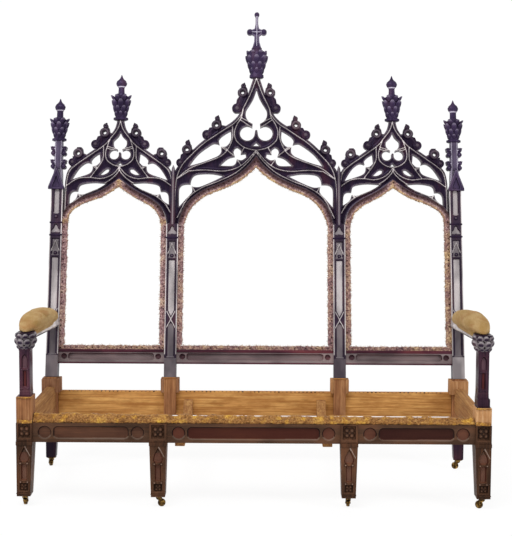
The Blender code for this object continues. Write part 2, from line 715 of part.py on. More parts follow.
def fitted(centre, x_scale, rise, drawn_apex):
    """Map from the drawing to a bay of the back."""
    w_scale = rise / (drawn_apex - DRAWN_SPRING)

    def place(points):
        return [(centre + x * x_scale, SPRING_W + (w - DRAWN_SPRING) * w_scale) for x, w in points]
    return place


def crest(label, place, outline, piercings, trefoil_loop, spandrel, crockets):
    """Pierced tracery crest of one bay: ogee arch, hood with crockets, trefoil and daggers."""
    loops = [place(outline), place(trefoil_loop), place(spandrel)]
    for hole in piercings:
        loops += [place(hole), place(mirrored(hole))]
    for eye, _, _ in crockets:
        for sign in (-1, 1):
            x, w = place([(sign * eye[0], eye[1])])[0]
            loops.append(arc(x, w, EYE_RADIUS, 0, 300, 6))
    mesh = plate(loops, CREST_SETBACK, CREST_THICKNESS, CREST_CHAMFER)
    add_piece("crest_" + label, mesh, ROSEWOOD, BACK)


def inset(points, distances):
    """Polygon moved inwards, each edge by its own distance; the points run anticlockwise."""
    moved = []
    count = len(points)
    for i in range(count):
        here = Vector(points[i])
        back = (here - Vector(points[i - 1])).normalized()
        ahead = (Vector(points[(i + 1) % count]) - here).normalized()
        n0 = Vector((-back.y, back.x))
        n1 = Vector((-ahead.y, ahead.x))
        d0, d1 = distances[i - 1], distances[i]
        cross = n0.x * n1.y - n0.y * n1.x
        if abs(cross) < 1e-3:
            step = n1 * d1
        else:
            step = Vector(((d0 * n1.y - d1 * n0.y) / cross, (d1 * n0.x - d0 * n1.x) / cross))
        moved.append(tuple(here + step))
    return moved


def tack_frame(label, left, right, arch):
    """Strip round a back opening that the cover was tacked to: along rail, stiles and arch."""
    opening = [(left, LOWER_RAIL_HIGH), (right, LOWER_RAIL_HIGH)] + arch
    widths = [STRIP_LOW_WIDTH] + [STRIP_WIDTH] * (len(opening) - 1)
    apex = max(opening, key=lambda point: point[1])[0]
    moves = zip(opening, inset(opening, widths))
    kept = [new for old, new in moves if (old[0] - apex) * (new[0] - apex) > 0 or old[0] == apex]
    mesh = plate([inset(opening, [GAP] * len(opening)), kept], STRIP_SETBACK, STRIP_THICKNESS)
    add_piece("back_tack_frame_" + label, mesh, TACK_STRIP, BACK)


def side_bay():
    """Middle of a side bay, and the scale of its drawing between the two stiles."""
    scale = (STILE_FACE - MID_STILE_OUT) / (DRAWN_SIDE_IN + DRAWN_SIDE_OUT)
    return MID_STILE_OUT + DRAWN_SIDE_IN * scale, scale


def starting(points, x):
    """The same line, with its first point moved to x."""
    return [(x, points[0][1])] + points[1:]


def bays():
    """The three bays of the back: rail, crest and tacking strip of each."""
    scale = MID_STILE_IN / DRAWN_CENTRE_HALF
    place = fitted(0.0, scale, CENTRE_RISE, DRAWN_CENTRE_APEX)
    joint = (MID_X - GAP / 2) / scale
    right = half_outline(CENTRE_ARCH, joint, starting(CENTRE_HOOD, joint), CENTRE_CROCKETS)
    crest("centre", place, right[1:] + mirrored(right), CENTRE_PIERCINGS, CENTRE_TREFOIL, CENTRE_SPANDREL,
          CENTRE_CROCKETS)
    arch = smooth(CENTRE_ARCH, 2)
    run = place(arch[::-1] + mirrored(arch)[::-1][1:])
    tack_frame("centre", -MID_STILE_IN, MID_STILE_IN, run)
    lower_back_rail("centre", -MID_STILE_IN, MID_STILE_IN)
    middle, scale = side_bay()
    for label, side in SIDES:
        place = fitted(side * middle, side * scale, SIDE_RISE, DRAWN_SIDE_APEX)
        joint = (STILE_FACE - GAP - middle) / scale
        arch_out = starting(SIDE_ARCH_OUT[::-1], joint)[::-1]
        outer = half_outline(arch_out, joint, SIDE_HOOD, SIDE_CROCKETS)
        joint = (middle - MID_X - GAP / 2) / scale
        inner = half_outline(SIDE_ARCH_IN, joint, starting(SIDE_HOOD, joint), SIDE_CROCKETS)
        crest(label, place, outer[1:] + mirrored(inner), SIDE_PIERCINGS, SIDE_TREFOIL, SIDE_SPANDREL,
              SIDE_CROCKETS)
        arch = list(reversed(smooth(SIDE_ARCH_OUT, 2))) + [(-x, w) for x, w in smooth(SIDE_ARCH_IN, 2)][1:]
        ends = sorted((side * MID_STILE_OUT, side * STILE_FACE))
        run = place(arch)
        tack_frame(label, ends[0], ends[1], run if side > 0 else run[::-1])
        lower_back_rail(label, ends[0], ends[1])


# Turned profiles as (height above the seat, radius) in millimetres, from the seat up
SIDE_FINIAL = [(0, 29), (4, 33), (13, 33), (20, 27), (30, 31), (70, 44), (104, 48), (112, 45), (115, 26),
               (123, 26), (125, 14), (151, 13), (157, 20), (171, 25), (185, 19), (197, 6), (212, 1)]
PINNACLE = [(0, 28), (3, 31), (12, 31), (20, 26), (28, 29), (78, 43), (97, 44), (101, 28), (107, 28),
            (109, 15), (136, 15), (142, 20), (157, 24), (171, 17), (181, 6), (195, 1)]
CENTRE_BULB = [(0, 28), (4, 34), (14, 34), (22, 29), (32, 37), (80, 56), (108, 63), (122, 56), (134, 26),
               (140, 18)]
CENTRE_CROSS = [(15, 128), (20, 142), (12, 170), (11, 198)] + arc(31, 216, 14, -130, 130, 7)
CENTRE_CROSS += [(10, 232), (6, 254), (6, 284)] + arc(0, 298, 11, -50, 90, 4)
FINIAL_STEPS = 8


def turned_on(profile, drawn_scale, u, d, seat):
    """Flattened turned finial standing on a seat of the raked back."""
    top = profile[-1][0]
    points = [(0, top)] + [(radius, height) for height, radius in reversed(profile)] + [(0, 0)]
    mesh = turned([(radius * drawn_scale, height * drawn_scale) for radius, height in points], FINIAL_STEPS)
    mesh.transform(Matrix.Translation((u, d, seat + GAP)) @ Matrix.Diagonal((1, FINIAL_FLATNESS, 1, 1)))
    return mesh


def finials():
    """Finials on the three crests, and the pinnacles on the outer stiles' spires."""
    d = CREST_SETBACK + CREST_THICKNESS / 2
    seat = SPRING_W + CENTRE_RISE
    scale = CENTRE_FINIAL_HEIGHT / CENTRE_CROSS[-1][1]
    finial = add_piece("finial_centre", turned_on(CENTRE_BULB, scale, 0.0, d, seat), ROSEWOOD, BACK)
    cross = [(x * scale, seat + w * scale) for x, w in CENTRE_CROSS + mirrored(CENTRE_CROSS)[1:]]
    combine(finial, plate([cross], d - CROSS_THICKNESS / 2, CROSS_THICKNESS), "UNION")
    middle, _ = side_bay()
    for label, side in SIDES:
        scale = FINIAL_HEIGHT / SIDE_FINIAL[-1][0]
        mesh = turned_on(SIDE_FINIAL, scale, side * middle, d, SPRING_W + SIDE_RISE)
        add_piece("finial_" + label, mesh, ROSEWOOD, BACK)
        scale = PINNACLE_HEIGHT / PINNACLE[-1][0]
        mesh = turned_on(PINNACLE, scale, side * OUT_X, STILE_DEPTH / 2, SPIRE_TOP_W)
        add_piece("pinnacle_" + label, mesh, ROSEWOOD, BACK)


ARM_FRONT = LEG_DEPTH / 2 + CAPITAL_WIDTH / 2 + GAP
POST_Y = LEG_DEPTH / 2


def arm_post(label, side):
    """Arm post with a lancet panel and a spreading foliate capital."""
    x = side * OUT_X
    half = POST_WIDTH / 2
    deep = POST_DEPTH / 2
    full = CAPITAL_WIDTH / 2
    tall = CAPITAL_HEIGHT
    sections = [(CORNER_BLOCK_TOP + GAP, half, deep), (POST_TOP, half, deep),
                (POST_TOP + 0.05 * tall, half + NIB, deep + NIB),
                (POST_TOP + 0.18 * tall, half + NIB, deep + NIB), (POST_TOP + 0.25 * tall, half, deep),
                (POST_TOP + 0.60 * tall, full - NIB, full - NIB), (POST_TOP + 0.80 * tall, full, full),
                (CAPITAL_TOP, full - NIB, full - NIB)]
    rings = [rounded_ring(x, POST_Y, z, a, b, NIB) for z, a, b in sections]
    post = add_piece("arm_post_" + label, loft(rings), ROSEWOOD, ROOT)
    panel = lancet(x, CORNER_BLOCK_TOP + 2 * PANEL_MARGIN, POST_TOP - PANEL_MARGIN, half - PANEL_MARGIN)
    combine(post, sunk([panel], POST_Y - deep))


def arm_end(z):
    """Where an arm at height z meets the front of the raked stile."""
    return BACK_Y + (z - KINK_Z) * math.tan(RAKE) - GAP


def arm_rail(label, side):
    """Arm from the capital back to the stile, falling a little to the rear."""
    rear = CAPITAL_TOP - ARM_DROP
    low = rear - ARM_THICKNESS
    outline = [(ARM_FRONT, CAPITAL_TOP - ARM_THICKNESS), (arm_end(low), low), (arm_end(rear), rear),
               (ARM_FRONT, CAPITAL_TOP)]
    mesh = side_plate(outline, side * OUT_X - ARM_WIDTH / 2, ARM_WIDTH)
    add_piece("arm_rail_" + label, mesh, ROSEWOOD, ROOT)


def arm_pad(label, side):
    """Stuffed arm pad: flat where it rests, crowned above, full at the sides and drawn in below."""
    section = [(0, 0), (0.72, 0), (0.95, 0.20), (1, 0.45), (0.87, 0.75), (0.5, 0.94), (0, 1)]
    section += mirrored(section)[1:-1]
    fall = ARM_DROP / (arm_end(CAPITAL_TOP - ARM_DROP) - ARM_FRONT)
    rings = []
    for t in (0.0, 0.015, 0.06, 0.14, 0.27, 0.42, 0.58, 0.73, 0.86, 0.94, 0.985, 1.0):
        end = abs(2 * t - 1)
        wide = PAD_WIDTH / 2 * max(0.42, (1 - end ** 3.2) ** (1 / 2.4))
        tall = PAD_HEIGHT * max(0.38, (1 - end ** 2.8) ** (1 / 2.2))
        y = PAD_FRONT + PAD_LENGTH * t
        rest = CAPITAL_TOP + GAP - max(0.0, y - ARM_FRONT) * fall
        rings.append([(side * OUT_X + u * wide, y, rest + v * tall) for u, v in section])
    add_piece("arm_pad_" + label, loft(rings), VELVET, ROOT)


PLATE_LOW = CASTER_HEIGHT - GAP - PLATE_THICKNESS
CROWN_TOP = PLATE_LOW - GAP
CHEEK_FACE = WHEEL_WIDTH / 2 + CHEEK_CLEARANCE


def caster(label, x, y, turn):
    """Brass caster: plate on the foot, horn that swivels on its pintle, and wheel on its axle."""
    hole = PINTLE_RADIUS + PINTLE_CLEARANCE
    plate_top = PLATE_LOW + PLATE_THICKNESS
    ring = [(hole, plate_top), (PLATE_RADIUS, plate_top), (PLATE_RADIUS, PLATE_LOW), (hole, PLATE_LOW)]
    mesh = turned(ring + ring[:1], 12)
    mesh.transform(Matrix.Translation((x, y, 0)))
    add_piece("caster_plate_" + label, mesh, BRASS, ROOT)
    swivel = add_empty("caster_swivel_" + label, ROOT, (x, y, 0), (0, 0, math.radians(turn)))
    axle = add_empty("caster_axle_" + label, swivel, (CASTER_TRAIL, 0, WHEEL_RADIUS))
    crown_low = CROWN_TOP - CROWN_THICKNESS
    horn = add_piece("caster_horn_" + label, drum(CROWN_RADIUS, crown_low, CROWN_TOP, 12), BRASS, swivel)
    top = CASTER_HEIGHT + PINTLE_LENGTH - 2 * PINTLE_CLEARANCE
    combine(horn, drum(PINTLE_RADIUS, CROWN_TOP - CROWN_THICKNESS / 2, top, 8), "UNION")
    high = crown_low + CROWN_THICKNESS / 3
    boss = 2.1 * AXLE_RADIUS
    outline = [(-0.5 * CROWN_RADIUS, high)] + arc(CASTER_TRAIL, WHEEL_RADIUS, boss, 215, 395, 6)
    outline.append((0.7 * CROWN_RADIUS, high))
    for sign in (-1, 1):
        face = CHEEK_FACE if sign > 0 else -CHEEK_FACE - CHEEK_THICKNESS
        combine(horn, plate([outline], face, CHEEK_THICKNESS), "UNION")
    pin = drum(AXLE_RADIUS, -CHEEK_FACE - CHEEK_THICKNESS / 2, CHEEK_FACE + CHEEK_THICKNESS / 2, 8)
    across = Matrix.Rotation(math.pi / 2, 4, "X")
    pin.transform(Matrix.Translation((CASTER_TRAIL, 0, WHEEL_RADIUS)) @ across)
    combine(horn, pin, "UNION")
    half = WHEEL_WIDTH / 2
    ease = 0.1 * WHEEL_RADIUS
    bore = AXLE_RADIUS + AXLE_CLEARANCE
    tread = [(bore, half), (WHEEL_RADIUS - ease, half), (WHEEL_RADIUS, half - ease),
             (WHEEL_RADIUS, ease - half), (WHEEL_RADIUS - ease, -half), (bore, -half)]
    wheel = turned(tread + tread[:1], 12)
    wheel.transform(across)
    add_piece("caster_wheel_" + label, wheel, BRASS, axle)


def assemble():
    for label, side in SIDES:
        corner_leg(label, side)
        inner_leg(label, side)
        arm_post(label, side)
        arm_rail(label, side)
        arm_pad(label, side)
        outer_stile(label, side)
        mid_stile(label, side)
        packing("packing_outer_" + label, side * OUT_X, True)
        packing("packing_mid_" + label, side * MID_X, False)
        ends = sorted((side * (MID_X + INNER_LEG_FACE), side * CORNER_INNER_FACE))
        front_facing(label, *ends)
    front_facing("centre", INNER_LEG_FACE - MID_X, MID_X - INNER_LEG_FACE)
    seat_frame()
    bays()
    finials()
    corner_x, foot_y = corner_foot(1)
    rear_x, rear_y = rear_foot(1)
    caster("front_left", -corner_x, foot_y, 90)
    caster("front_inner_left", -MID_X, foot_y, 0)
    caster("front_inner_right", MID_X, foot_y, 90)
    caster("front_right", corner_x, foot_y, 180)
    caster("rear_left", -rear_x, rear_y, 115)
    caster("rear_right", rear_x, rear_y, 180)


def centre_over_origin():
    """Move the settee so that its overall depth is centred over its origin."""
    graph = bpy.context.evaluated_depsgraph_get()
    depths = []
    for piece in PIECES.objects:
        if piece.type == "MESH":
            shape = piece.evaluated_get(graph)
            depths += [(shape.matrix_world @ vert.co).y for vert in shape.data.vertices]
    ROOT.location.y = -(min(depths) + max(depths)) / 2
    bpy.context.view_layer.update()
    print("depth", round(max(depths) - min(depths), 4), "shift", round(ROOT.location.y, 5))


assemble()
centre_over_origin()
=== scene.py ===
"""Gothic Revival settee frame, stripped of its seat and back covers.

Carved and French polished rosewood, raw seat rails, torn cover edges with their tacks, velvet arm pads
and brass casters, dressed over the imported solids. Metres, +Z up, the sitter faces -Y.
"""
import math

import bmesh
import bpy
import numpy as np
from mathutils import Euler, Matrix, Vector, kdtree, noise
from mathutils.geometry import delaunay_2d_cdt


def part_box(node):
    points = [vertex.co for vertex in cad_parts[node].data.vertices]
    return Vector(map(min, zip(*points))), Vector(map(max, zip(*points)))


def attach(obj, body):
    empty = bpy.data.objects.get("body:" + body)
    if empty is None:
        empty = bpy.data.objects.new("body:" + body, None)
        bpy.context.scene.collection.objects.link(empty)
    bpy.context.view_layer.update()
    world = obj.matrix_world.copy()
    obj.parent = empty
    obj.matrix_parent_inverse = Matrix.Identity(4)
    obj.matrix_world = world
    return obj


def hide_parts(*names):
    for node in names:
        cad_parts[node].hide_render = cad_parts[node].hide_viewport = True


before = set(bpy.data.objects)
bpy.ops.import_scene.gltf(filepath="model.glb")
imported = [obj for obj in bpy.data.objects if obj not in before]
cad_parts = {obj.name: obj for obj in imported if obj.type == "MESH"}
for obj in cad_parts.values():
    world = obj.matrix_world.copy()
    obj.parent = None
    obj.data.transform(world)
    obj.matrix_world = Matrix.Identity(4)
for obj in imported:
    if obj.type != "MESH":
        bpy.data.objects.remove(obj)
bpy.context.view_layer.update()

# Sizes shared with the solids
GAP = 0.0003
NIB = 0.004
OUT_X = 0.8785
MID_X = 0.3665
CORNER_LEG_WIDTH = 0.062
CORNER_FOOT_WIDTH = 0.052
INNER_LEG_WIDTH = 0.066
INNER_FOOT_WIDTH = 0.054
LEG_DEPTH = 0.070
LEG_FOOT_DEPTH = 0.056
FOOT_Z = 0.044
RAIL_BOTTOM = 0.255
FACING_TOP = 0.330
TACK_RAIL_TOP = 0.347
TACK_RAIL_DEPTH = 0.040
CORNER_BLOCK_TOP = 0.432
FACING_SETBACK = 0.006
FACING_BACK = 0.024
SEAT_RAIL_TOP = 0.332
SIDE_RAIL_TOP = 0.358
SIDE_RAIL_HALF = 0.018
BACK_RAIL_BOTTOM = 0.228
BACK_RAIL_DEPTH = 0.030
BATTEN_X = 0.287
BATTEN_HALF = 0.019
BATTEN_LOW = 0.226
BATTEN_DIP = 0.252
BATTEN_TOP = 0.300
PACKING_WALL = 0.013
PACKING_WEB = 0.005
PACKING_HEIGHT = 0.060
BACK_Y = 0.530
KINK_Z = 0.400
RAKE = math.radians(12.0)
STILE_WIDTH = 0.052
STILE_DEPTH = 0.045
STILE_LAP = 0.020
MID_STILE_BOTTOM = 0.238
REAR_FOOT_WIDTH = 0.042
REAR_FOOT_DEPTH = 0.036
LOWER_RAIL = (0.057, 0.119)
LOWER_RAIL_SETBACK = 0.006
LOWER_RAIL_THICKNESS = 0.028
SPRING_W = 0.667
EAVES_W = 0.835
SPIRE_TOP_W = 1.040
COLONNETTE_TOP_W = 0.934
CENTRE_RISE = 0.667
SIDE_RISE = 0.470
CREST_SETBACK = 0.016
CREST_THICKNESS = 0.028
STRIP_WIDTH = 0.024
STRIP_SETBACK = 0.010
STRIP_THICKNESS = 0.010
POST_WIDTH = 0.047
POST_DEPTH = 0.052
POST_TOP = 0.606
CAPITAL_TOP = 0.676
CAPITAL_WIDTH = 0.084
ARM_WIDTH = 0.044
ARM_THICKNESS = 0.040
ARM_DROP = 0.026
CORNER_FACE = OUT_X - CORNER_LEG_WIDTH / 2
STILE_FACE = OUT_X - STILE_WIDTH / 2
INNER_FACE = MID_X + STILE_WIDTH / 2
MM = 0.001

# Frames of the two planes that the carving lies in: upright at the front, raked at the back
FRONT_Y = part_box("front_leg_corner_left")[0].y
UPRIGHT = Matrix.Translation((0, FRONT_Y, 0))
RAKED = UPRIGHT @ Matrix.Translation((0, BACK_Y, KINK_Z)) @ Matrix.Rotation(-RAKE, 4, "X")
SIDES = (("left", -1), ("right", 1))


def linear(code):
    """Linear colour of an sRGB hex value."""
    parts = [int(code[i:i + 2], 16) / 255 for i in (0, 2, 4)]
    return (*[c / 12.92 if c <= 0.04045 else ((c + 0.055) / 1.055) ** 2.4 for c in parts], 1.0)


def per_mm(size):
    """Texture scale for a feature of this size in millimetres."""
    return 1 / (size * MM)


def feed(tree, node, inputs):
    """Link sockets to a node's inputs and set its fixed values."""
    for key, value in inputs.items():
        if isinstance(value, bpy.types.NodeSocket):
            tree.links.new(value, node.inputs[key])
        else:
            node.inputs[key].default_value = value


def add(tree, kind, inputs=None, out=0, stops=(), **settings):
    """One node with its settings, inputs and any colour stops; gives the output asked for."""
    made = tree.nodes.new(kind)
    for key, value in settings.items():
        setattr(made, key, value)
    feed(tree, made, inputs or {})
    for i, (place, code) in enumerate(stops):
        band = made.color_ramp.elements
        stop = band[i] if i < len(band) else band.new(place)
        stop.position, stop.color = place, linear(code)
    return made.outputs[out]


def start_material(name):
    made = bpy.data.materials.new(name)
    made.use_nodes = True
    return made, made.node_tree, made.node_tree.nodes["Principled BSDF"]


def clouds(tree, sizes_mm, detail=4.0, rough=0.6):
    """Noise in the piece's own space, with a feature size in millimetres along each axis."""
    place = add(tree, "ShaderNodeTexCoord", out="Object")
    drawn = add(tree, "ShaderNodeMapping", {"Vector": place, "Scale": [per_mm(size) for size in sizes_mm]})
    return add(tree, "ShaderNodeTexNoise",
               {"Vector": drawn, "Scale": 1.0, "Detail": detail, "Roughness": rough})


def along(axis, wide_mm, long_mm):
    """Feature sizes drawn out along one axis, as the fibres of wood are."""
    return [long_mm if name == axis else wide_mm for name in "xyz"]


def rosewood_polished(name, axis, woods, rubbed, bloom, gloss=(0.26, 0.44)):
    """Old rosewood, French polished: near black with red glimpses. Where the attribute read below is under 0
    it is darkened, for polish that has collected in the hollows and for painted shade on slopes and sides;
    above 0 it is paled with the rubbed colours, for wood rubbed back on its arrises and for painted
    highlights and reflections.
    bloom is the tint of the light on the old polish, gloss its roughness from dense to open figure."""
    made, tree, shader = start_material(name)
    dark, mid, red = woods
    figure = clouds(tree, along(axis, 6, 140))
    patch = clouds(tree, along(axis, 70, 180), 2.0)
    wood = add(tree, "ShaderNodeValToRGB", {"Fac": figure}, stops=((0.32, dark), (0.56, mid), (0.80, red)))
    tint = add(tree, "ShaderNodeValToRGB", {"Fac": patch}, stops=((0.42, dark), (0.56, mid), (0.70, red)))
    base = add(tree, "ShaderNodeMix", {0: 0.5, 6: wood, 7: tint}, out=2, data_type="RGBA")
    blush = add(tree, "ShaderNodeAttribute", attribute_name="blush", out="Fac")
    base = add(tree, "ShaderNodeMix", {0: blush, 6: base, 7: linear("5e2a20")}, out=2, data_type="RGBA")
    # Below 0 this value darkens the wood, for collected polish and painted shade; above 0 it pales it, for
    # rubbed arrises and painted highlights.
    wear = add(tree, "ShaderNodeAttribute", attribute_name="wear", out="Fac")
    gathered_and_shade = add(tree, "ShaderNodeMath", {0: wear, 1: -1.0}, operation="MULTIPLY", use_clamp=True)
    base = add(tree, "ShaderNodeMix", {0: gathered_and_shade, 6: base, 7: linear("07040c")}, out=2, data_type="RGBA")
    broken = add(tree, "ShaderNodeMapRange",
                 {"Value": patch, "From Min": 0.35, "From Max": 0.6, "To Min": 0.5, "To Max": 1.0})
    bare_and_lit = add(tree, "ShaderNodeMath", {0: wear, 1: broken}, operation="MULTIPLY", use_clamp=True)
    pale = add(tree, "ShaderNodeValToRGB", {"Fac": wear}, stops=((0.25, rubbed[0]), (0.80, rubbed[1])))
    shade = add(tree, "ShaderNodeMix", {0: bare_and_lit, 6: base, 7: pale}, out=2, data_type="RGBA")
    polish = add(tree, "ShaderNodeMapRange", {"Value": figure, "To Min": gloss[0], "To Max": gloss[1]})
    relief = add(tree, "ShaderNodeBump", {"Height": figure, "Distance": 0.3 * MM, "Strength": 0.2})
    feed(tree, shader, {"Base Color": shade, "Roughness": polish, "IOR": 1.5, "Specular IOR Level": 0.17,
                        "Specular Tint": linear(bloom), "Normal": relief})
    return made


def raw_wood(name, axis, dark, mid, pale):
    """Sawn secondary wood that was hidden by the upholstery: dry, dusty, open grained and stained."""
    made, tree, shader = start_material(name)
    figure = clouds(tree, along(axis, 7, 260))
    stain = clouds(tree, along(axis, 30, 80), 3.0)
    pores = clouds(tree, along(axis, 1.6, 40), 2.0)
    wood = add(tree, "ShaderNodeValToRGB", {"Fac": figure}, stops=((0.30, dark), (0.50, mid), (0.72, pale)))
    share = add(tree, "ShaderNodeMapRange",
                {"Value": stain, "From Min": 0.42, "From Max": 0.70, "To Min": 0.0, "To Max": 0.7})
    aged = add(tree, "ShaderNodeMix", {0: share, 6: wood, 7: linear(dark)}, out=2, data_type="RGBA")
    deep = add(tree, "ShaderNodeMapRange",
               {"Value": pores, "From Min": 0.56, "From Max": 0.74, "To Min": 0.0, "To Max": 0.45})
    shade = add(tree, "ShaderNodeMix", {0: deep, 6: aged, 7: linear("4a2a16")}, out=2, data_type="RGBA")
    relief = add(tree, "ShaderNodeBump", {"Height": figure, "Distance": 0.8 * MM, "Strength": 0.5})
    feed(tree, shader, {"Base Color": shade, "Roughness": 0.85, "Specular IOR Level": 0.15, "Normal": relief})
    return made


def torn_cloth(name, dark, mid, pale, free_dark, free_pale):
    """Torn cover left under its tacks: broken threads mottled at a few millimetres, bleached where
    free is above 0, at the loose edge, and still dark where it is below 0, in the shelter of the arch."""
    made, tree, shader = start_material(name)
    tuft = clouds(tree, (7, 7, 7), 4.0, 0.7)
    patch = clouds(tree, (60, 60, 60), 2.0)
    free = add(tree, "ShaderNodeAttribute", attribute_name="free", out="Fac")
    mixed = add(tree, "ShaderNodeMix", {0: 0.25, 2: tuft, 3: patch})
    held = add(tree, "ShaderNodeValToRGB", {"Fac": mixed}, stops=((0.38, dark), (0.50, mid), (0.64, pale)))
    loose = add(tree, "ShaderNodeValToRGB", {"Fac": mixed},
                stops=((0.36, mid), (0.48, free_dark), (0.62, free_pale)))
    swing = add(tree, "ShaderNodeMapRange",
                {"Value": patch, "From Min": 0.3, "From Max": 0.7, "To Min": -0.35, "To Max": 0.35})
    edge = add(tree, "ShaderNodeMath", {0: free, 1: swing}, operation="ADD", use_clamp=True)
    shade = add(tree, "ShaderNodeMix", {0: edge, 6: held, 7: loose}, out=2, data_type="RGBA")
    sheltered = add(tree, "ShaderNodeMath", {0: free, 1: -1.0}, operation="MULTIPLY", use_clamp=True)
    shade = add(tree, "ShaderNodeMix", {0: sheltered, 6: shade, 7: linear("3a2529")}, out=2, data_type="RGBA")
    relief = add(tree, "ShaderNodeBump", {"Height": tuft, "Distance": 1.5 * MM, "Strength": 0.7})
    feed(tree, shader, {"Base Color": shade, "Roughness": 0.95, "Specular IOR Level": 0.1,
                        "Sheen Weight": 0.12, "Normal": relief})
    return made


def velvet_worn(name):
    """Cotton velvet, gold gone olive: short pile that catches light at its edges, rubbed thin on top."""
    made, tree, shader = start_material(name)
    pile = clouds(tree, (3, 3, 3), 3.0, 0.65)
    nap = clouds(tree, (40, 80, 30), 5.0)
    cloth = add(tree, "ShaderNodeValToRGB", {"Fac": nap},
                stops=((0.34, "90703f"), (0.50, "a98b60"), (0.66, "bda177")))
    fleck = add(tree, "ShaderNodeValToRGB", {"Fac": pile}, stops=((0.36, "8a683a"), (0.60, "b4955f")))
    shade = add(tree, "ShaderNodeMix", {0: 0.45, 6: cloth, 7: fleck}, out=2, data_type="RGBA")
    soiled = add(tree, "ShaderNodeMapRange",
                 {"Value": clouds(tree, (55, 70, 40), 4.0), "From Min": 0.48, "From Max": 0.66,
                  "To Max": 0.6})
    shade = add(tree, "ShaderNodeMix", {0: soiled, 6: shade, 7: linear("94653a")}, out=2, data_type="RGBA")
    relief = add(tree, "ShaderNodeBump", {"Height": pile, "Distance": 0.8 * MM, "Strength": 0.5})
    feed(tree, shader, {"Base Color": shade, "Roughness": 0.9, "Specular IOR Level": 0.1,
                        "Sheen Weight": 0.25, "Sheen Roughness": 0.4, "Sheen Tint": linear("e0cc9c"),
                        "Normal": relief})
    return made


def metal_aged(name, dull, mid, bright):
    """Metal gone dull, bright only where it rubs."""
    made, tree, shader = start_material(name)
    tarnish = clouds(tree, (8, 8, 8))
    metal = add(tree, "ShaderNodeValToRGB", {"Fac": tarnish},
                stops=((0.38, dull), (0.54, mid), (0.70, bright)))
    polish = add(tree, "ShaderNodeMapRange", {"Value": tarnish, "To Min": 0.6, "To Max": 0.2})
    feed(tree, shader, {"Base Color": metal, "Roughness": polish, "Metallic": 1.0})
    return made


# Rosewood is browner low down, where hands and shoes have worn its polish, and purple black on the back
PURPLE, BROWN = ("110a18", "261a2e", "4a262c"), ("24160f", "4a3123", "70462e")
ROSEWOOD = rosewood_polished("rosewood carved and French polished, upright grain", "z", PURPLE,
                             ("6e6065", "ddd5d4"), "c2b2e0")
# A paler copy of the carved rosewood, for the finials, the pinnacles and the heads of the outer stiles
ROSEWOOD_HEAD = rosewood_polished("rosewood carved in the round, paler, upright grain", "z",
                                  ("1b1426", "372b46", "4c3444"), ("7a6c84", "cdc6d6"), "c8b8ea")
ROSEWOOD_RAIL = rosewood_polished("rosewood moulded and French polished, level grain", "x",
                                  ("28131b", "562a34", "7a3e40"), ("887a7a", "bcb9b5"), "c8bcd8")
POST_WOOD = rosewood_polished("rosewood carved and handled, upright grain", "z",
                              ("1c1019", "422a36", "663c42"), ("5d3a3a", "c2b6c0"), "c8b6d8")
WARM_LEG = rosewood_polished("rosewood carved and rubbed warm, upright grain", "z", BROWN,
                             ("886048", "c4b8b0"), "d8c8b8", (0.44, 0.60))
WARM_RAIL = rosewood_polished("rosewood carved and rubbed warm, level grain", "x", BROWN,
                              ("735a4a", "bdb0a4"), "dccab8", (0.42, 0.58))
RAW_RAIL = raw_wood("ash sawn and left raw, level grain", "x", "996331", "c48e50", "dcad68")
RAW_POST = raw_wood("ash sawn and left raw, upright grain", "z", "76492f", "9c6b45", "b98a60")
RAW_SIDE = raw_wood("ash sawn and left raw, grain front to back", "y", "835736", "a87a4a", "c0955d")
RAW_FRESH = raw_wood("ash split and left raw, upright grain", "z", "a06d42", "c99868", "e0b88a")
PINE_FRESH = raw_wood("pine packing split and left raw", "z", "8d5f3c", "b58559", "cba077")
PINE = raw_wood("pine packing sawn and left raw", "z", "6b452f", "92674a", "ac8363")
COVER = torn_cloth("cotton cover torn to its tacks", "4a363e", "937071", "ceb6b2", "84634a", "d2b486")
STRAW = torn_cloth("jute and straw torn at the seat edge", "5e3d1e", "946637", "b98c52", "b07c2e", "e2b750")
VELVET = velvet_worn("cotton velvet short pile worn")
FRAY = torn_cloth("cotton and straw fibres frayed", "6e4d2c", "a8814c", "dcc187", "a87c38", "dcc37c")
BRASS = metal_aged("brass cast and aged", "2c2013", "5d4524", "c09a55")
IRON = metal_aged("iron tacks cut and rusted", "1a120e", "33221a", "5a4030")


# Drawing and carving
CURVE_STEPS = 4
CORNER_TURN = 52
CUSP_TURN = 38
AT_ONCE = 1500
ARRIS_WEAR_AND_SHEEN = 0.0030
BAR_EASE = 0.0016
FINE_ARRIS = 0.0015
ARRIS = 0.002
SIDE_ARRIS = 0.0025
RAW_ARRIS = 0.003


def arc(x, height, radius, start, end, count):
    """Points on an arc, by angle in degrees from +x."""
    angles = [math.radians(start + (end - start) * i / (count - 1)) for i in range(count)]
    return [(x + radius * math.cos(a), height + radius * math.sin(a)) for a in angles]


def circle(x, height, radius, count):
    return arc(x, height, radius, 0, 360 - 360 / count, count)


def smooth(points, steps=CURVE_STEPS):
    """Curve that passes through each of the points in turn."""
    ends = [points[0]] + list(points) + [points[-1]]
    curve = []
    for a, b, c, d in zip(ends, ends[1:], ends[2:], ends[3:]):
        for step in range(steps):
            t = step / steps
            curve.append(tuple(
                0.5 * (2 * q + (r - p) * t + (2 * p - 5 * q + 4 * r - s) * t * t
                       + (3 * q - p - 3 * r + s) * t ** 3)
                for p, q, r, s in zip(a, b, c, d)))
    curve.append(tuple(points[-1]))
    return curve


def mirrored(points):
    return [(-x, height) for x, height in reversed(points)]


def turn_at(before, here, after):
    """Change of direction at a point, in degrees, positive to the left."""
    first = Vector((here[0] - before[0], here[1] - before[1]))
    second = Vector((after[0] - here[0], after[1] - here[1]))
    return -math.degrees(first.angle_signed(second, 0.0))


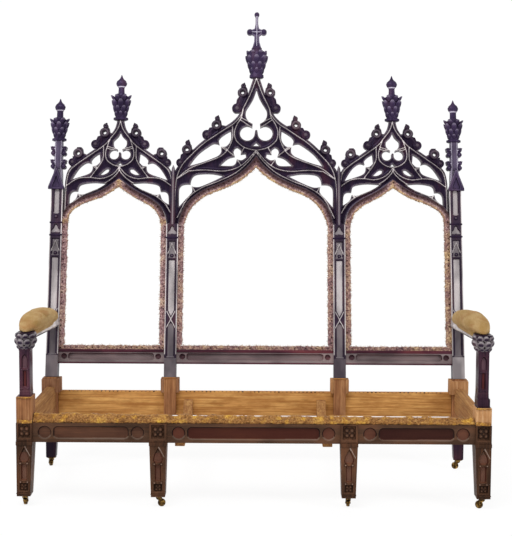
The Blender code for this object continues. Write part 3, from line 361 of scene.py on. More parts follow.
def eased(loop):
    """Closed outline made smooth between its corners."""
    count = len(loop)
    turns = [turn_at(loop[i - 1], loop[i], loop[(i + 1) % count]) for i in range(count)]
    corners = [i for i in range(count) if abs(turns[i]) > CORNER_TURN]
    if not corners:
        return smooth(loop + loop[:1])[:-1]
    curve = []
    for i, first in enumerate(corners):
        last = corners[(i + 1) % len(corners)]
        span = (last - first - 1) % count + 1
        run = [loop[(first + j) % count] for j in range(span + 1)]
        curve += smooth(run)[:-1] if span > 1 else run[:1]
    return curve


def unit(values):
    """Values held between 0 and 1."""
    return np.clip(values, 0, 1)


def resampled(line, step, closed):
    """Points along a line, no further apart than step."""
    run = np.array(list(line) + list(line[:1]) if closed else line, float)
    parts = []
    for a, b in zip(run, run[1:]):
        count = max(1, int(np.ceil(np.linalg.norm(b - a) / step)))
        parts.append(a + (b - a) * np.linspace(0, 1, count, endpoint=False)[:, None])
    return np.vstack(parts + ([] if closed else [run[-1:]]))


def segments(lines, closed):
    """Start and end of each straight piece of the lines."""
    runs = [np.vstack([line, line[:1]]) if closed else np.asarray(line, float)
            for line in map(np.array, lines)]
    return np.vstack([np.stack([run[:-1], run[1:]], 1) for run in runs])


def distance(points, pairs):
    """Distance from each point to the nearest segment."""
    near = np.full(len(points), 9.0)
    start = pairs[:, 0]
    run = pairs[:, 1] - start
    length = np.maximum((run ** 2).sum(1), 1e-12)
    for first in range(0, len(points), AT_ONCE):
        gap = points[first:first + AT_ONCE, None] - start
        share = unit((gap * run).sum(2) / length)
        near[first:first + AT_ONCE] = np.sqrt(((gap - share[..., None] * run) ** 2).sum(2).min(1))
    return near


def inside(points, pairs):
    """Whether each point lies within the loops, holes left out."""
    found = np.zeros(len(points), bool)
    (ax, ay), (bx, by) = pairs[:, 0].T, pairs[:, 1].T
    for first in range(0, len(points), AT_ONCE):
        x, y = points[first:first + AT_ONCE, :1], points[first:first + AT_ONCE, 1:]
        crosses = (ay > y) != (by > y)
        with np.errstate(divide="ignore", invalid="ignore"):
            beyond = x < (bx - ax) * (y - ay) / (by - ay) + ax
        found[first:first + AT_ONCE] = (crosses & beyond).sum(1) % 2 == 1
    return found


def marked(mesh, name, values):
    """Values for the mesh's first points, which its material reads by name."""
    known = mesh.attributes.get(name) or mesh.attributes.new(name, "FLOAT", "POINT")
    spread = np.zeros(len(mesh.vertices), np.float32)
    spread[:len(values)] = values
    known.data.foreach_set("value", spread)


def marked_by(mesh, name, value_at):
    """Values that follow from each point's place."""
    marked(mesh, name, [value_at(vert.co) for vert in mesh.vertices])


def set_back(mesh, depth):
    mesh.transform(Matrix.Translation((0, depth, 0)))


def carved(loops, relief, back, step, lines=()):
    """Board with a carved front, drawn in (x, height). relief gives each point's depth behind the front plane
    and its value of rubbed wood and painted light, and back the depth of the flat back."""
    rims = [resampled(loop, step, True) for loop in loops]
    ribs = [resampled(line, step, False) for line in lines]
    points, edges = [], []
    for run, closed in [(rim, True) for rim in rims] + [(rib, False) for rib in ribs]:
        first, count = len(points), len(run)
        points += [tuple(point) for point in run]
        edges += [(first + i, first + (i + 1) % count) for i in range(count if closed else count - 1)]
    rim_pairs = segments(loops, True)
    taken = kdtree.KDTree(len(points))
    for i, point in enumerate(points):
        taken.insert((*point, 0), i)
    taken.balance()
    low, high = np.array(points).min(0), np.array(points).max(0)
    x, y = np.meshgrid(np.arange(low[0], high[0], step), np.arange(low[1], high[1], step * 0.866))
    x[1::2] += step / 2
    grid = np.stack([x.ravel(), y.ravel()], 1)
    grid = grid[inside(grid, rim_pairs)]
    grid = [point for point in grid if taken.find((*point, 0))[2] > 0.6 * step]
    points += [tuple(point) for point in grid]
    made = delaunay_2d_cdt([Vector(point) for point in points], edges, [], 0, 1e-7, False)
    flat = np.array([vert[:] for vert in made[0]])
    faces = np.array(made[2])
    faces = faces[inside(flat[faces].mean(1), rim_pairs)]
    used, faces = np.unique(faces, return_inverse=True)
    flat, faces = flat[used], faces.reshape(-1, 3)
    depth, wear = relief(flat)
    sides = np.vstack([faces[:, [0, 1]], faces[:, [1, 2]], faces[:, [2, 0]]])
    keys = np.sort(sides, 1)
    unique, counts = np.unique(keys, axis=0, return_counts=True)
    rim = unique[counts == 1]
    rim_verts = np.unique(rim)
    behind = {v: len(flat) + i for i, v in enumerate(rim_verts)}
    verts = [(p[0], d, p[1]) for p, d in zip(flat, depth)]
    verts += [(flat[v][0], back, flat[v][1]) for v in rim_verts]
    walls = [(a, b, behind[b], behind[a]) for a, b in rim]
    row = {v: i for i, v in enumerate(rim_verts)}
    closing = delaunay_2d_cdt([Vector(flat[v]) for v in rim_verts], [(row[a], row[b]) for a, b in rim], [], 0,
                              1e-9, False)
    rear = np.array(closing[2])
    rear = rear[inside(flat[rim_verts][rear].mean(1), segments([flat[[a, b]] for a, b in rim], False))]
    mesh = bpy.data.meshes.new("board")
    mesh.from_pydata(verts, [], faces.tolist() + walls + (rear + len(flat)).tolist())
    marked(mesh, "wear", wear)
    return mesh


def moulded(loops, ridges, fall, half, ease, leaves=None):
    """Relief of mouldings: an arris along each ridge, a hollow on both sides and a fillet at each rim.
    Polish has collected in the hollows; the arrises and fillets are painted pale, rubbed wood and painted
    highlight together, and the tops of the leaves are painted highlights."""
    rim_pairs = segments(loops, True)
    ridge_pairs = segments(ridges, False)

    def relief(points):
        ridge = distance(points, ridge_pairs)
        rim = distance(points, rim_pairs)
        fillet = unit(1 - rim / (1.6 * ease))
        hollow = 1 - (1 - unit(ridge / half)) ** 2
        depth = fall * hollow * (1 - 0.40 * fillet)
        # Pale along each arris: rubbed wood and a painted highlight together
        wear = unit(1.5 * (1 - ridge / ARRIS_WEAR_AND_SHEEN))
        wear = np.where(wear > 0, wear, np.where(fillet > 0, 0.36, -0.28 * hollow))
        if leaves is not None:
            leaf = leaves(points)
            raised = leaf > fall - depth
            depth = np.where(raised, fall - leaf, depth)
            # Painted highlight on the tops of the leaves
            wear = np.where(raised, 0.8 * np.clip(leaf / fall - 0.55, -0.2, 1), wear)
        edge = unit(rim / (0.5 * ease))
        return depth + 0.3 * ease * (1 - edge) ** 2, wear
    return relief


def mesh_of(bm):
    bmesh.ops.recalc_face_normals(bm, faces=bm.faces)
    mesh = bpy.data.meshes.new("shape")
    bm.to_mesh(mesh)
    bm.free()
    return mesh


def put(name, data):
    """New object in the scene."""
    made = bpy.data.objects.new(name, data)
    bpy.context.scene.collection.objects.link(made)
    return made


def settled(holder):
    """Mesh of an object after its modifiers; the object goes."""
    done = bpy.data.meshes.new_from_object(holder.evaluated_get(bpy.context.evaluated_depsgraph_get()))
    bpy.data.objects.remove(holder)
    return done


def evaluated(mesh, kind, **settings):
    """The mesh after one modifier."""
    holder = put("holder", mesh)
    modifier = holder.modifiers.new(kind.title(), kind)
    for key, value in settings.items():
        setattr(modifier, key, value)
    return settled(holder)


def bevelled(mesh, width):
    return evaluated(mesh, "BEVEL", width=width, segments=2, limit_method="ANGLE")


def box(low, high):
    bm = bmesh.new()
    bmesh.ops.create_cube(bm, size=1.0)
    for vert in bm.verts:
        vert.co = Vector(h if c > 0 else l for c, l, h in zip(vert.co, low, high))
    return mesh_of(bm)


def loft(rings):
    """Closed skin over rings that all have the same number of points."""
    bm = bmesh.new()
    rows = [[bm.verts.new(point) for point in ring] for ring in rings]
    count = len(rows[0])
    for low, high in zip(rows, rows[1:]):
        for i in range(count):
            j = (i + 1) % count
            bm.faces.new((low[i], low[j], high[j], high[i]))
    bm.faces.new(reversed(rows[0]))
    bm.faces.new(rows[-1])
    return mesh_of(bm)


def turned(profile, steps):
    """Piece turned about the vertical axis from (radius, height) points, from one end to the other."""
    angles = [math.tau * i / steps for i in range(steps)]
    return loft([[(max(r, 1e-5) * math.cos(a), max(r, 1e-5) * math.sin(a), z) for a in angles]
                 for r, z in profile])


def bar(middle, half):
    """Raised bar across a board, with eased edges."""
    low = [m - h for m, h in zip(middle, half)]
    high = [m + h for m, h in zip(middle, half)]
    return bevelled(box(low, high), BAR_EASE)


def moved(mesh, matrix):
    """Copy of the mesh in another place."""
    done = mesh.copy()
    done.transform(matrix)
    return done


def joined(meshes):
    """Several meshes as one, keeping the values that their materials read."""
    bm = bmesh.new()
    for mesh in meshes:
        for name in ("wear", "blush", "free"):
            if name not in mesh.attributes:
                mesh.attributes.new(name, "FLOAT", "POINT")
        bm.from_mesh(mesh)
    done = bpy.data.meshes.new("joined")
    bm.to_mesh(done)
    bm.free()
    return done


def piece(name, meshes, material, nodes=(), body="frame", place=None, sharp=32, paint=None):
    """One finished piece of the settee at the origin, riding its body in place of the solids it dresses."""
    mesh = joined(meshes)
    if place is not None:
        mesh.transform(place)
    bm = bmesh.new()
    bm.from_mesh(mesh)
    bmesh.ops.recalc_face_normals(bm, faces=bm.faces)
    bm.to_mesh(mesh)
    bm.free()
    mesh.shade_smooth()
    mesh.set_sharp_from_angle(angle=math.radians(sharp))
    made = put(name, mesh)
    mesh.materials.clear()
    for finish in material if isinstance(material, (list, tuple)) else [material]:
        mesh.materials.append(finish)
    if paint is not None:
        for face in mesh.polygons:
            face.material_index = paint(face.center, face.normal)
    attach(made, body)
    if nodes:
        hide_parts(*nodes)
    return made


# The crests, drawn in millimetres about each bay's middle, with heights from the kink of the back
DRAWN_SPRING = 667
DRAWN_CENTRE_HALF = 341
DRAWN_CENTRE_APEX = 1329
DRAWN_SIDE_IN = 214
DRAWN_SIDE_OUT = 245
DRAWN_SIDE_APEX = 1133
SIDE_SCALE = (STILE_FACE - INNER_FACE) / (DRAWN_SIDE_IN + DRAWN_SIDE_OUT)
SIDE_MIDDLE = INNER_FACE + DRAWN_SIDE_IN * SIDE_SCALE
EYE_RADIUS = 7.2
RING_RADIUS = 23
TIP_HEIGHT = 46
LOBE_SWELL = 1.25
CENTRE_ARCH = [(0, 972), (29, 934), (84, 887), (161, 849), (236, 818), (294, 772), (326, 722), (341, 667)]
SIDE_ARCH_OUT = [(0, 868), (25, 850), (56, 829), (96, 808), (146, 791), (196, 766), (226, 742), (245, 712)]
SIDE_ARCH_IN = [(0, 868), (25, 850), (56, 827), (96, 804), (140, 781), (176, 754), (203, 716), (214, 667)]
CENTRE_HOOD = [(367, 900), (338, 942), (292, 993), (240, 1042), (193, 1074), (147, 1105), (107, 1132),
               (79, 1163), (66, 1200), (38, 1260), (15, 1329)]
SIDE_HOOD = [(240, 858), (230, 905), (198, 943), (148, 979), (78, 1029), (52, 1058), (25, 1096), (15, 1133)]
CENTRE_CROCKETS = [((309, 1004), (338, 945), 15), ((178, 1115), (221, 1072), 17),
                   ((62, 1264), (87, 1192), 18)]
SIDE_CROCKETS = [((186, 985), (211, 945), 14), ((70, 1078), (110, 1026), 16)]
CENTRE_PIERCINGS = [
    [(114, 1089), (140, 1074), (159, 1059), (167, 1045), (163, 1026), (180, 1031), (199, 1027),
     (248, 992), (276, 962), (298, 930), (240, 946), (185, 968), (168, 977), (156, 993), (157, 1016),
     (136, 1018), (119, 1034), (112, 1056)],
    [(84, 1014), (95, 1009), (101, 994), (95, 973), (127, 963), (161, 932), (110, 931), (92, 941),
     (86, 960), (64, 957), (44, 970), (48, 986), (69, 983), (69, 1002)],
    [(144, 885), (195, 895), (250, 894), (276, 886), (288, 868), (291, 848), (318, 847), (336, 837),
     (342, 815), (341, 747), (310, 782), (284, 812), (286, 837), (252, 836), (200, 857)],
]
SIDE_PIERCINGS = [
    [(90, 984), (112, 970), (126, 953), (125, 938), (148, 942), (176, 922), (200, 888), (212, 866),
     (170, 880), (134, 894), (121, 910), (119, 927), (103, 929), (86, 945)],
    [(46, 914), (62, 913), (88, 889), (70, 889), (50, 900)],
    [(57, 849), (110, 853), (155, 848), (177, 838), (184, 814), (205, 813), (218, 797), (221, 757),
     (205, 766), (190, 781), (182, 803), (160, 799), (120, 814), (85, 830)],
]
CENTRE_SPANDREL = [(0, 1036), (17, 1021), (-17, 1021)]
SIDE_SPANDREL = [(0, 943), (12, 930), (-12, 930)]

# Arrises of the tracery ribs, drawn on the right half
CENTRE_RIBS = [
    [(0, 1328), (27, 1255), (58, 1191), (68, 1159), (99, 1122), (140, 1095), (186, 1064), (232, 1032),
     (283, 984), (329, 932), (353, 870), (359, 780), (360, 672)],
    [(106, 1105), (106, 1053), (129, 1000), (165, 969), (231, 943), (298, 916), (353, 870)],
    [(298, 906), (231, 911), (154, 906), (98, 916), (52, 943), (0, 1000)],
    [(347, 699), (303, 783), (242, 830), (166, 861), (90, 899), (37, 946), (0, 992)],
    [(58, 1191), (66, 1150), (86, 1117), (97, 1081), (88, 1043), (50, 1012), (0, 1000)],
    [(353, 870), (298, 906)],
]
SIDE_RIBS = [
    [(0, 1131), (12, 1093), (43, 1051), (70, 1020), (141, 969), (190, 934), (221, 902), (233, 850),
     (236, 760), (236, 680)],
    [(233, 838), (202, 860), (175, 872), (129, 875), (85, 870), (48, 879), (21, 897), (0, 923)],
    [(0, 920), (4, 902), (29, 874), (61, 851), (101, 823), (150, 801), (200, 765), (230, 720)],
    [(43, 1051), (55, 1018), (63, 985), (57, 955), (32, 934), (0, 923)],
    [(73, 1014), (74, 960), (92, 925), (118, 890), (129, 875)],
]
RIB_FALL = 0.011
RIB_HALF = 0.015
RIM_EASE = 0.004
CARVING_STEP = 0.0036


def bud_of(eye):
    """Middle of the tip over a crocket's ring."""
    return eye[0] - 0.15 * RING_RADIUS, eye[1] + 1.32 * RING_RADIUS


def crocket(eye, lobe, lobe_radius):
    """Leaf that scrolls up the hood: a round lobe, a pierced ring and a pointed tip."""
    along = Vector((eye[0] - lobe[0], eye[1] - lobe[1])).normalized()
    outward = Vector((along.y, -along.x))

    def swung(centre, radius, start, end, count):
        angles = [math.radians(start + (end - start) * i / (count - 1)) for i in range(count)]
        arms = [math.sin(a) * outward - math.cos(a) * along for a in angles]
        return [tuple(Vector(centre) + radius * arm) for arm in arms]

    valley = (Vector(eye) + Vector(lobe)) / 2 + outward * 0.62 * RING_RADIUS
    bud = bud_of(eye)
    tip = [(eye[0] + 0.42 * RING_RADIUS, eye[1] + 0.90 * RING_RADIUS)]
    tip += arc(*bud, 0.50 * RING_RADIUS, -40, 50, 6)
    tip += [(eye[0] - 0.4 * RING_RADIUS, eye[1] + TIP_HEIGHT)] + arc(*bud, 0.50 * RING_RADIUS, 140, 200, 4)
    tip += [(eye[0] - 0.9 * RING_RADIUS, eye[1] + 0.85 * RING_RADIUS), (eye[0] - 1.05 * RING_RADIUS, eye[1])]
    return (swung(lobe, LOBE_SWELL * lobe_radius, 0, 150, 10) + [tuple(valley)]
            + swung(eye, RING_RADIUS, 20, 100, 8) + tip)


def half_outline(arch, joint, hood, crockets):
    """Right half of a crest's outline: out along the arch, up the joint, in along the hood."""
    edge = smooth(hood)
    for eye, lobe, radius in crockets:
        first = lobe[1] - 0.9 * radius
        last = eye[1] - 8
        before = [point for point in edge if point[1] < first]
        after = [point for point in edge if point[1] > last and point not in before]
        edge = before + crocket(eye, lobe, radius) + after
    rise = [(joint, arch[-1][1])] if joint > arch[-1][0] else []
    return smooth(arch) + rise + edge


def trefoil(apex, head, head_radius, lobe, lobe_radius, cusp):
    """Pierced trefoil with a drawn-out point: one head and two lobes, parted by three cusps."""
    throat = ((apex - head) * 0.62) + head
    right = smooth([(0, apex), (0.30 * head_radius, throat), *arc(0, head, head_radius, 26, 0, 3)])
    right += arc(0, head, head_radius, -8, -70, 9)
    right += arc(lobe[0], lobe[1], lobe_radius, 132, -178, 26)
    right += arc(0, cusp - 5, 5, 0, 90, 4)
    return right[:-1] + mirrored(right)[:-1]


def fitted(centre, x_scale, rise, drawn_apex):
    """Map from the drawing to a bay of the back."""
    w_scale = rise / (drawn_apex - DRAWN_SPRING)

    def place(points):
        return [(centre + x * x_scale, SPRING_W + (w - DRAWN_SPRING) * w_scale) for x, w in points]
    return place


def cusp_ridges(holes, ridges):
    """Short arris from each cusp of a piercing to the rib that carries it."""
    ends = np.vstack([resampled(line, CARVING_STEP, False) for line in ridges])
    found = []
    for hole in holes:
        count = len(hole)
        turns = [turn_at(hole[i - 1], hole[i], hole[(i + 1) % count]) for i in range(count)]
        way = 1 if sum(turns) > 0 else -1
        for i in range(count):
            if turns[i] * way < -CUSP_TURN:
                gaps = np.linalg.norm(ends - np.array(hole[i]), axis=1)
                found.append([hole[i], tuple(ends[gaps.argmin()])])
    return found


def crocket_leaves(crockets, place):
    """Heights of the crockets' lobes, rings, stems and tips above the ground of the crest."""
    spots = [(*np.array(place([(sign * x, w) for x, w in (eye, lobe, bud_of(eye))])),
              LOBE_SWELL * radius * MM) for eye, lobe, radius in crockets for sign in (-1, 1)]
    middle = (EYE_RADIUS + RING_RADIUS) / 2 * MM
    wall = (RING_RADIUS - EYE_RADIUS) / 2 * MM

    def heights(points):
        high = np.zeros(len(points))
        for eye, lobe, tip, radius in spots:
            out = np.linalg.norm(points - lobe, axis=1) / radius
            dome = np.sqrt(unit(1 - out ** 2)) * (1 - 0.4 * np.exp(-((out - 0.55) / 0.14) ** 2))
            ring = np.abs(np.linalg.norm(points - eye, axis=1) - middle) / wall
            torus = np.sqrt(unit(1 - ring ** 2))
            stem = 0.8 * unit(1 - distance(points, np.array([[lobe, eye]])) / (14 * MM))
            bud = np.linalg.norm(points - tip, axis=1) / (12 * MM)
            blade = np.sqrt(unit(1 - bud ** 2)) * (1 - 0.5 * np.exp(-(bud / 0.25) ** 2))
            away = np.linalg.norm(points - eye, axis=1) < EYE_RADIUS * 1.3 * MM
            leaf_high = np.maximum.reduce([dome, torus, np.where(away, 0, stem), blade])
            high = np.maximum(high, RIB_FALL * leaf_high)
        return high
    return heights


def crest(label, place, outline, piercings, trefoil_loop, spandrel, crockets, ribs):
    """Pierced tracery crest of one bay: ogee arch, hood with crockets, trefoil and daggers."""
    holes = [place(trefoil_loop), place(spandrel)]
    for hole in piercings:
        holes += [place(eased(hole)), place(eased(mirrored(hole)))]
    for eye, _, _ in crockets:
        holes += [circle(*place([(sign * eye[0], eye[1])])[0], EYE_RADIUS * MM, 14) for sign in (-1, 1)]
    ridges = [place(smooth(line)) for rib in ribs for line in (rib, mirrored(rib))]
    cusps = [place(hole) for source in piercings
             for hole in (source, mirrored(source))] + [place(trefoil_loop)]
    ridges += cusp_ridges(cusps, ridges)
    loops = [place(outline)] + holes
    relief = moulded(loops, ridges, RIB_FALL, RIB_HALF, RIM_EASE, leaves=crocket_leaves(crockets, place))
    board = carved(loops, relief, CREST_THICKNESS, CARVING_STEP, ridges)
    set_back(board, CREST_SETBACK)
    piece("carved_crest_" + label, [board], ROSEWOOD, ["crest_" + label], place=RAKED)


def inward_of(loop):
    """Directions into a loop that runs to the left, square to it at each point."""
    ahead = np.roll(loop, -1, 0) - np.roll(loop, 1, 0)
    return np.stack([-ahead[:, 1], ahead[:, 0]], 1) / np.linalg.norm(ahead, axis=1)[:, None]


def torn_strip(label, left, right, arch):
    """Torn cover round a back opening: ragged on its free edge and lumpy where it was tacked."""
    opening = resampled([(left, LOWER_RAIL[1]), (right, LOWER_RAIL[1])] + arch, 0.006, True)
    inward = inward_of(opening)
    low = opening[:, 1] < LOWER_RAIL[1] + 0.002
    rag = np.array([noise.noise((p[0] * 90, p[1] * 90, 3.1))
                    + 0.6 * noise.noise((p[0] * 300, p[1] * 300, 7.7)) for p in opening])
    arched = unit((opening[:, 1] - SPRING_W) / 0.05)
    width = np.where(low, 0.017, STRIP_WIDTH + 0.004 * arched) + 0.0035 * rag
    free = opening + inward * width[:, None]
    pairs = segments([opening], True)
    kept = free[distance(free, pairs) > width - 0.0015]
    rim = opening + inward * GAP
    apex = opening[np.argmax(opening[:, 1])]
    loose = []

    def relief(points):
        lumps = np.array([noise.noise((p[0] * 120, p[1] * 120, 1.3))
                          + 0.7 * noise.noise((p[0] * 330, p[1] * 330, 5.0)) for p in points])
        away = distance(points, pairs) / STRIP_WIDTH
        under = unit((points[:, 1] - SPRING_W + 0.04) / 0.06)
        bleached = unit((away - 0.66) / 0.34) * (0.25 + 0.75 * under)
        sheltered = np.clip(1.35 - 1.25 * away, 0, 0.95) * under
        tanned = np.where(points[:, 1] < LOWER_RAIL[1] + 0.02, 0.45,
                          {"left": 0.08, "centre": 0.30, "right": 0.50}[label])
        tanned = np.where((label == "right") & (points[:, 0] > right - 0.03), 0.6, tanned)
        gilt = np.exp(-((points[:, 0] - apex[0]) / 0.022) ** 2 - ((points[:, 1] - apex[1]) / 0.05) ** 2)
        gilt = np.maximum(gilt, np.exp(-((points[:, 1] - SPRING_W - 0.012) / 0.018) ** 2))
        plain = np.maximum(bleached, tanned * (1 - under)) - sheltered
        loose.append(plain if label == "centre" else plain + (0.9 - plain) * gilt)
        return STRIP_SETBACK - 0.001 - 0.0035 * lumps, np.zeros(len(points))
    board = carved([rim, kept], relief, STRIP_SETBACK + STRIP_THICKNESS, 0.0048)
    marked(board, "free", loose[0])
    piece("torn_cover_" + label, [board], COVER, ["back_tack_frame_" + label], place=RAKED)
    return opening, kept


def bays():
    """The three bays of the back: crest and torn cover of each."""
    face = MID_X - STILE_WIDTH / 2
    scale = face / DRAWN_CENTRE_HALF
    place = fitted(0.0, scale, CENTRE_RISE, DRAWN_CENTRE_APEX)
    joint = (MID_X - GAP / 2) / scale
    right = half_outline(CENTRE_ARCH, joint, [(joint, CENTRE_HOOD[0][1])] + CENTRE_HOOD[1:], CENTRE_CROCKETS)
    crest("centre", place, right[1:] + mirrored(right), CENTRE_PIERCINGS,
          trefoil(1278, 1166, 48, (40, 1078), 33, 1094), CENTRE_SPANDREL, CENTRE_CROCKETS, CENTRE_RIBS)
    arch = smooth(CENTRE_ARCH)
    strips = [("centre", torn_strip("centre", -face, face, place(arch[::-1] + mirrored(arch)[::-1][1:])))]
    for label, side in SIDES:
        place = fitted(side * SIDE_MIDDLE, side * SIDE_SCALE, SIDE_RISE, DRAWN_SIDE_APEX)
        joint = (STILE_FACE - GAP - SIDE_MIDDLE) / SIDE_SCALE
        outer = half_outline(SIDE_ARCH_OUT[:-1] + [(joint, SIDE_ARCH_OUT[-1][1])], joint, SIDE_HOOD,
                             SIDE_CROCKETS)
        joint = (SIDE_MIDDLE - MID_X - GAP / 2) / SIDE_SCALE
        inner = half_outline(SIDE_ARCH_IN, joint, [(joint, SIDE_HOOD[0][1])] + SIDE_HOOD[1:], SIDE_CROCKETS)
        crest(label, place, outer[1:] + mirrored(inner), SIDE_PIERCINGS,
              trefoil(1080, 1030, 30, (26, 979), 21, 990), SIDE_SPANDREL, SIDE_CROCKETS, SIDE_RIBS)
        run = place(smooth(SIDE_ARCH_OUT)[::-1] + [(-x, w) for x, w in smooth(SIDE_ARCH_IN)][1:])
        ends = sorted((side * INNER_FACE, side * STILE_FACE))
        strips.append((label, torn_strip(label, ends[0], ends[1], run if side > 0 else run[::-1])))
    return strips


# Panelled boards: legs, posts, stiles and rails
BEAD_HALF = 0.0026
RIM_HIGHLIGHT_REACH = 0.002
EDGE_WEAR_AND_SHEEN_REACH = 0.004
FINE_STEP = 0.0024
SPIRE_STEP = 0.002
ON_EDGE = 1e-5
BOARD_BACK = 0.014
CORE_FRONT = 0.010
LEG_CORE_FRONT = 0.020
LEG_BANDS = ((0.2515, 0.0075, 0.0035), (0.2615, 0.002, 0.002), (0.0555, 0.0028, 0.003))
LEG_LIGHT = [(0, 0.2385), (-0.0145, 0.211), (-0.0205, 0.190), (-0.0165, 0.178)]
LEG_SINK = 0.009
LEG_SLOPE = 0.005
STILE_SINK = 0.007
STILE_SLOPE = 0.0055
POST_SLOPE = 0.0050
RIGHT_BLOCK_TOP = 0.398


def lancet(x, low, high, half):
    """Pointed panel with an equilateral head."""
    spring = high - half * math.sqrt(3)
    right = arc(x - half, spring, 2 * half, 0, 60, 8)
    left = arc(x + half, spring, 2 * half, 120, 180, 8)
    return [(x - half, low), (x + half, low)] + right + left[1:]


def rounded(left, right, middle, height, radius):
    """Long panel with rounded corners."""
    low, high = middle - height / 2 + radius, middle + height / 2 - radius
    return (arc(right - radius, low, radius, -90, 0, 8) + arc(right - radius, high, radius, 0, 90, 8)
            + arc(left + radius, high, radius, 90, 180, 8) + arc(left + radius, low, radius, 180, 270, 8))


def square(x, height, half_x, half_h):
    return [(x - half_x, height - half_h), (x + half_x, height - half_h),
            (x + half_x, height + half_h), (x - half_x, height + half_h)]


def quatrefoil(x, height, reach, lift):
    """Carved leaf of four lobes about a boss, as domes (x, height, radius, lift, painted highlight of the
    top).
    """
    domes = [(x, height, 0.30 * reach, 1.1 * lift, 0.3)]
    for turn in (45, 135, 225, 315):
        angle = math.radians(turn)
        domes.append((x + 0.62 * reach * math.cos(angle), height + 0.62 * reach * math.sin(angle),
                      0.46 * reach, lift, 0.5))
    return domes


def threefoil(x, height, radius):
    """Three-lobed outline with one lobe up."""
    angles = [math.tau * i / 36 for i in range(36)]
    reach = [radius * (0.80 + 0.20 * math.cos(3 * (a - math.pi / 2))) for a in angles]
    return [(x + r * math.cos(a), height + r * math.sin(a)) for a, r in zip(angles, reach)]


def panelled(panels, beads, domes, sink, slope, arrises=(), plain=None, base=0.0, sill_wear=0.55,
             bead_wear=1.5, hollow=-0.85):
    """Relief of a flat board with sunk panels (outline, and the value of its ground), raised beads and carved
    domes, whose tops are painted highlights. arrises are edges painted pale, rubbed wood and painted
    highlight together, plain is the height under which the board is plain and its value, and the four values
    after it are of the face, the sills, a painted highlight where the slope faces up, the beads, rubbed wood
    and painted highlight together, and the other slopes, painted shade."""
    bead_pairs = segments(beads, False) if beads else None

    def relief(points):
        depth, wear = np.zeros(len(points)), np.full(len(points), base)
        for panel, ground in panels:
            pairs = segments([panel], True)
            near = distance(points, pairs)
            within = inside(points, pairs) & (near > ON_EDGE)
            share = unit(near / slope)
            depth = np.where(within, sink * share * (2 - share), depth)
            # Sills, where the slope faces up, are painted pale as a highlight; the other slopes are painted
            # dark as shade
            sill = ~inside(points - (0, slope), pairs)
            wear = np.where(within, np.where(share < 1, np.where(sill, sill_wear, hollow), ground), wear)
            # A thin painted highlight on the arris just outside each panel
            rim = np.where(within, 0, 0.3 * unit(1 - near / RIM_HIGHLIGHT_REACH))
            wear = np.where(rim > 0, np.maximum(wear, rim), wear)
        # Beads painted pale: rubbed wood and a painted highlight together
        if bead_pairs is not None:
            near = unit(distance(points, bead_pairs) / BEAD_HALF)
            depth = np.where(near < 1, np.minimum(depth, sink * near ** 2 + 0.0004), depth)
            wear = np.maximum(wear, np.where(near < 1, unit(bead_wear * (1 - near)), -1))
        # Dome tops painted pale as highlights, their flanks painted dark as shade
        for x, height, radius, lift, top in domes:
            out = np.hypot(points[:, 0] - x, points[:, 1] - height) / radius
            dome = lift * np.sqrt(unit(1 - out ** 2))
            depth = depth - dome
            wear = np.where(out < 1, np.where(out < 0.6, top * (1 - out / 0.6), -0.5 * out), wear)
        # Arrises painted pale: rubbed wood and a painted highlight together
        for edge in arrises:
            near = distance(points, segments([edge], False))
            wear = np.maximum(wear, np.where(near < EDGE_WEAR_AND_SHEEN_REACH, unit(1.6 * (1 - near / EDGE_WEAR_AND_SHEEN_REACH)),
                                             -1))
        if plain is not None:
            wear = np.where(points[:, 1] < plain[0], plain[1], wear)
        return depth, wear
    return relief


def drawn_in(outline, reach):
    """Outline drawn inward by a reach, with mitred corners; none where it would fold."""
    points = np.array(outline)
    after = np.roll(points, -1, 0)
    ahead = after - points
    turn = np.sign((points[:, 0] * after[:, 1] - after[:, 0] * points[:, 1]).sum())
    lengths = np.maximum(np.linalg.norm(ahead, axis=1), ON_EDGE)[:, None]
    normal = turn * np.stack([-ahead[:, 1], ahead[:, 0]], 1) / lengths
    before = np.roll(normal, 1, 0)
    line = points + reach * (normal + before) / np.maximum(1 + (normal * before).sum(1), 0.2)[:, None]
    pairs = segments([outline], True)
    clear = inside(line, pairs) & (distance(line, pairs) > 0.9 * reach)
    return [[tuple(point) for point in line] + [tuple(line[0])]] if clear.all() else []


def board(outline, panels, beads, domes, back, sink, slope, step=FINE_STEP, **finish):
    """Panelled board of one outline, in (x, depth, height)."""
    lines = [list(panel) + [panel[0]] for panel, _ in panels] + list(beads)
    for panel, _ in panels:
        lines += drawn_in(panel, 0.5 * slope) + drawn_in(panel, 1.02 * slope)
    return carved([outline], panelled(panels, beads, domes, sink, slope, **finish), back, step, lines)


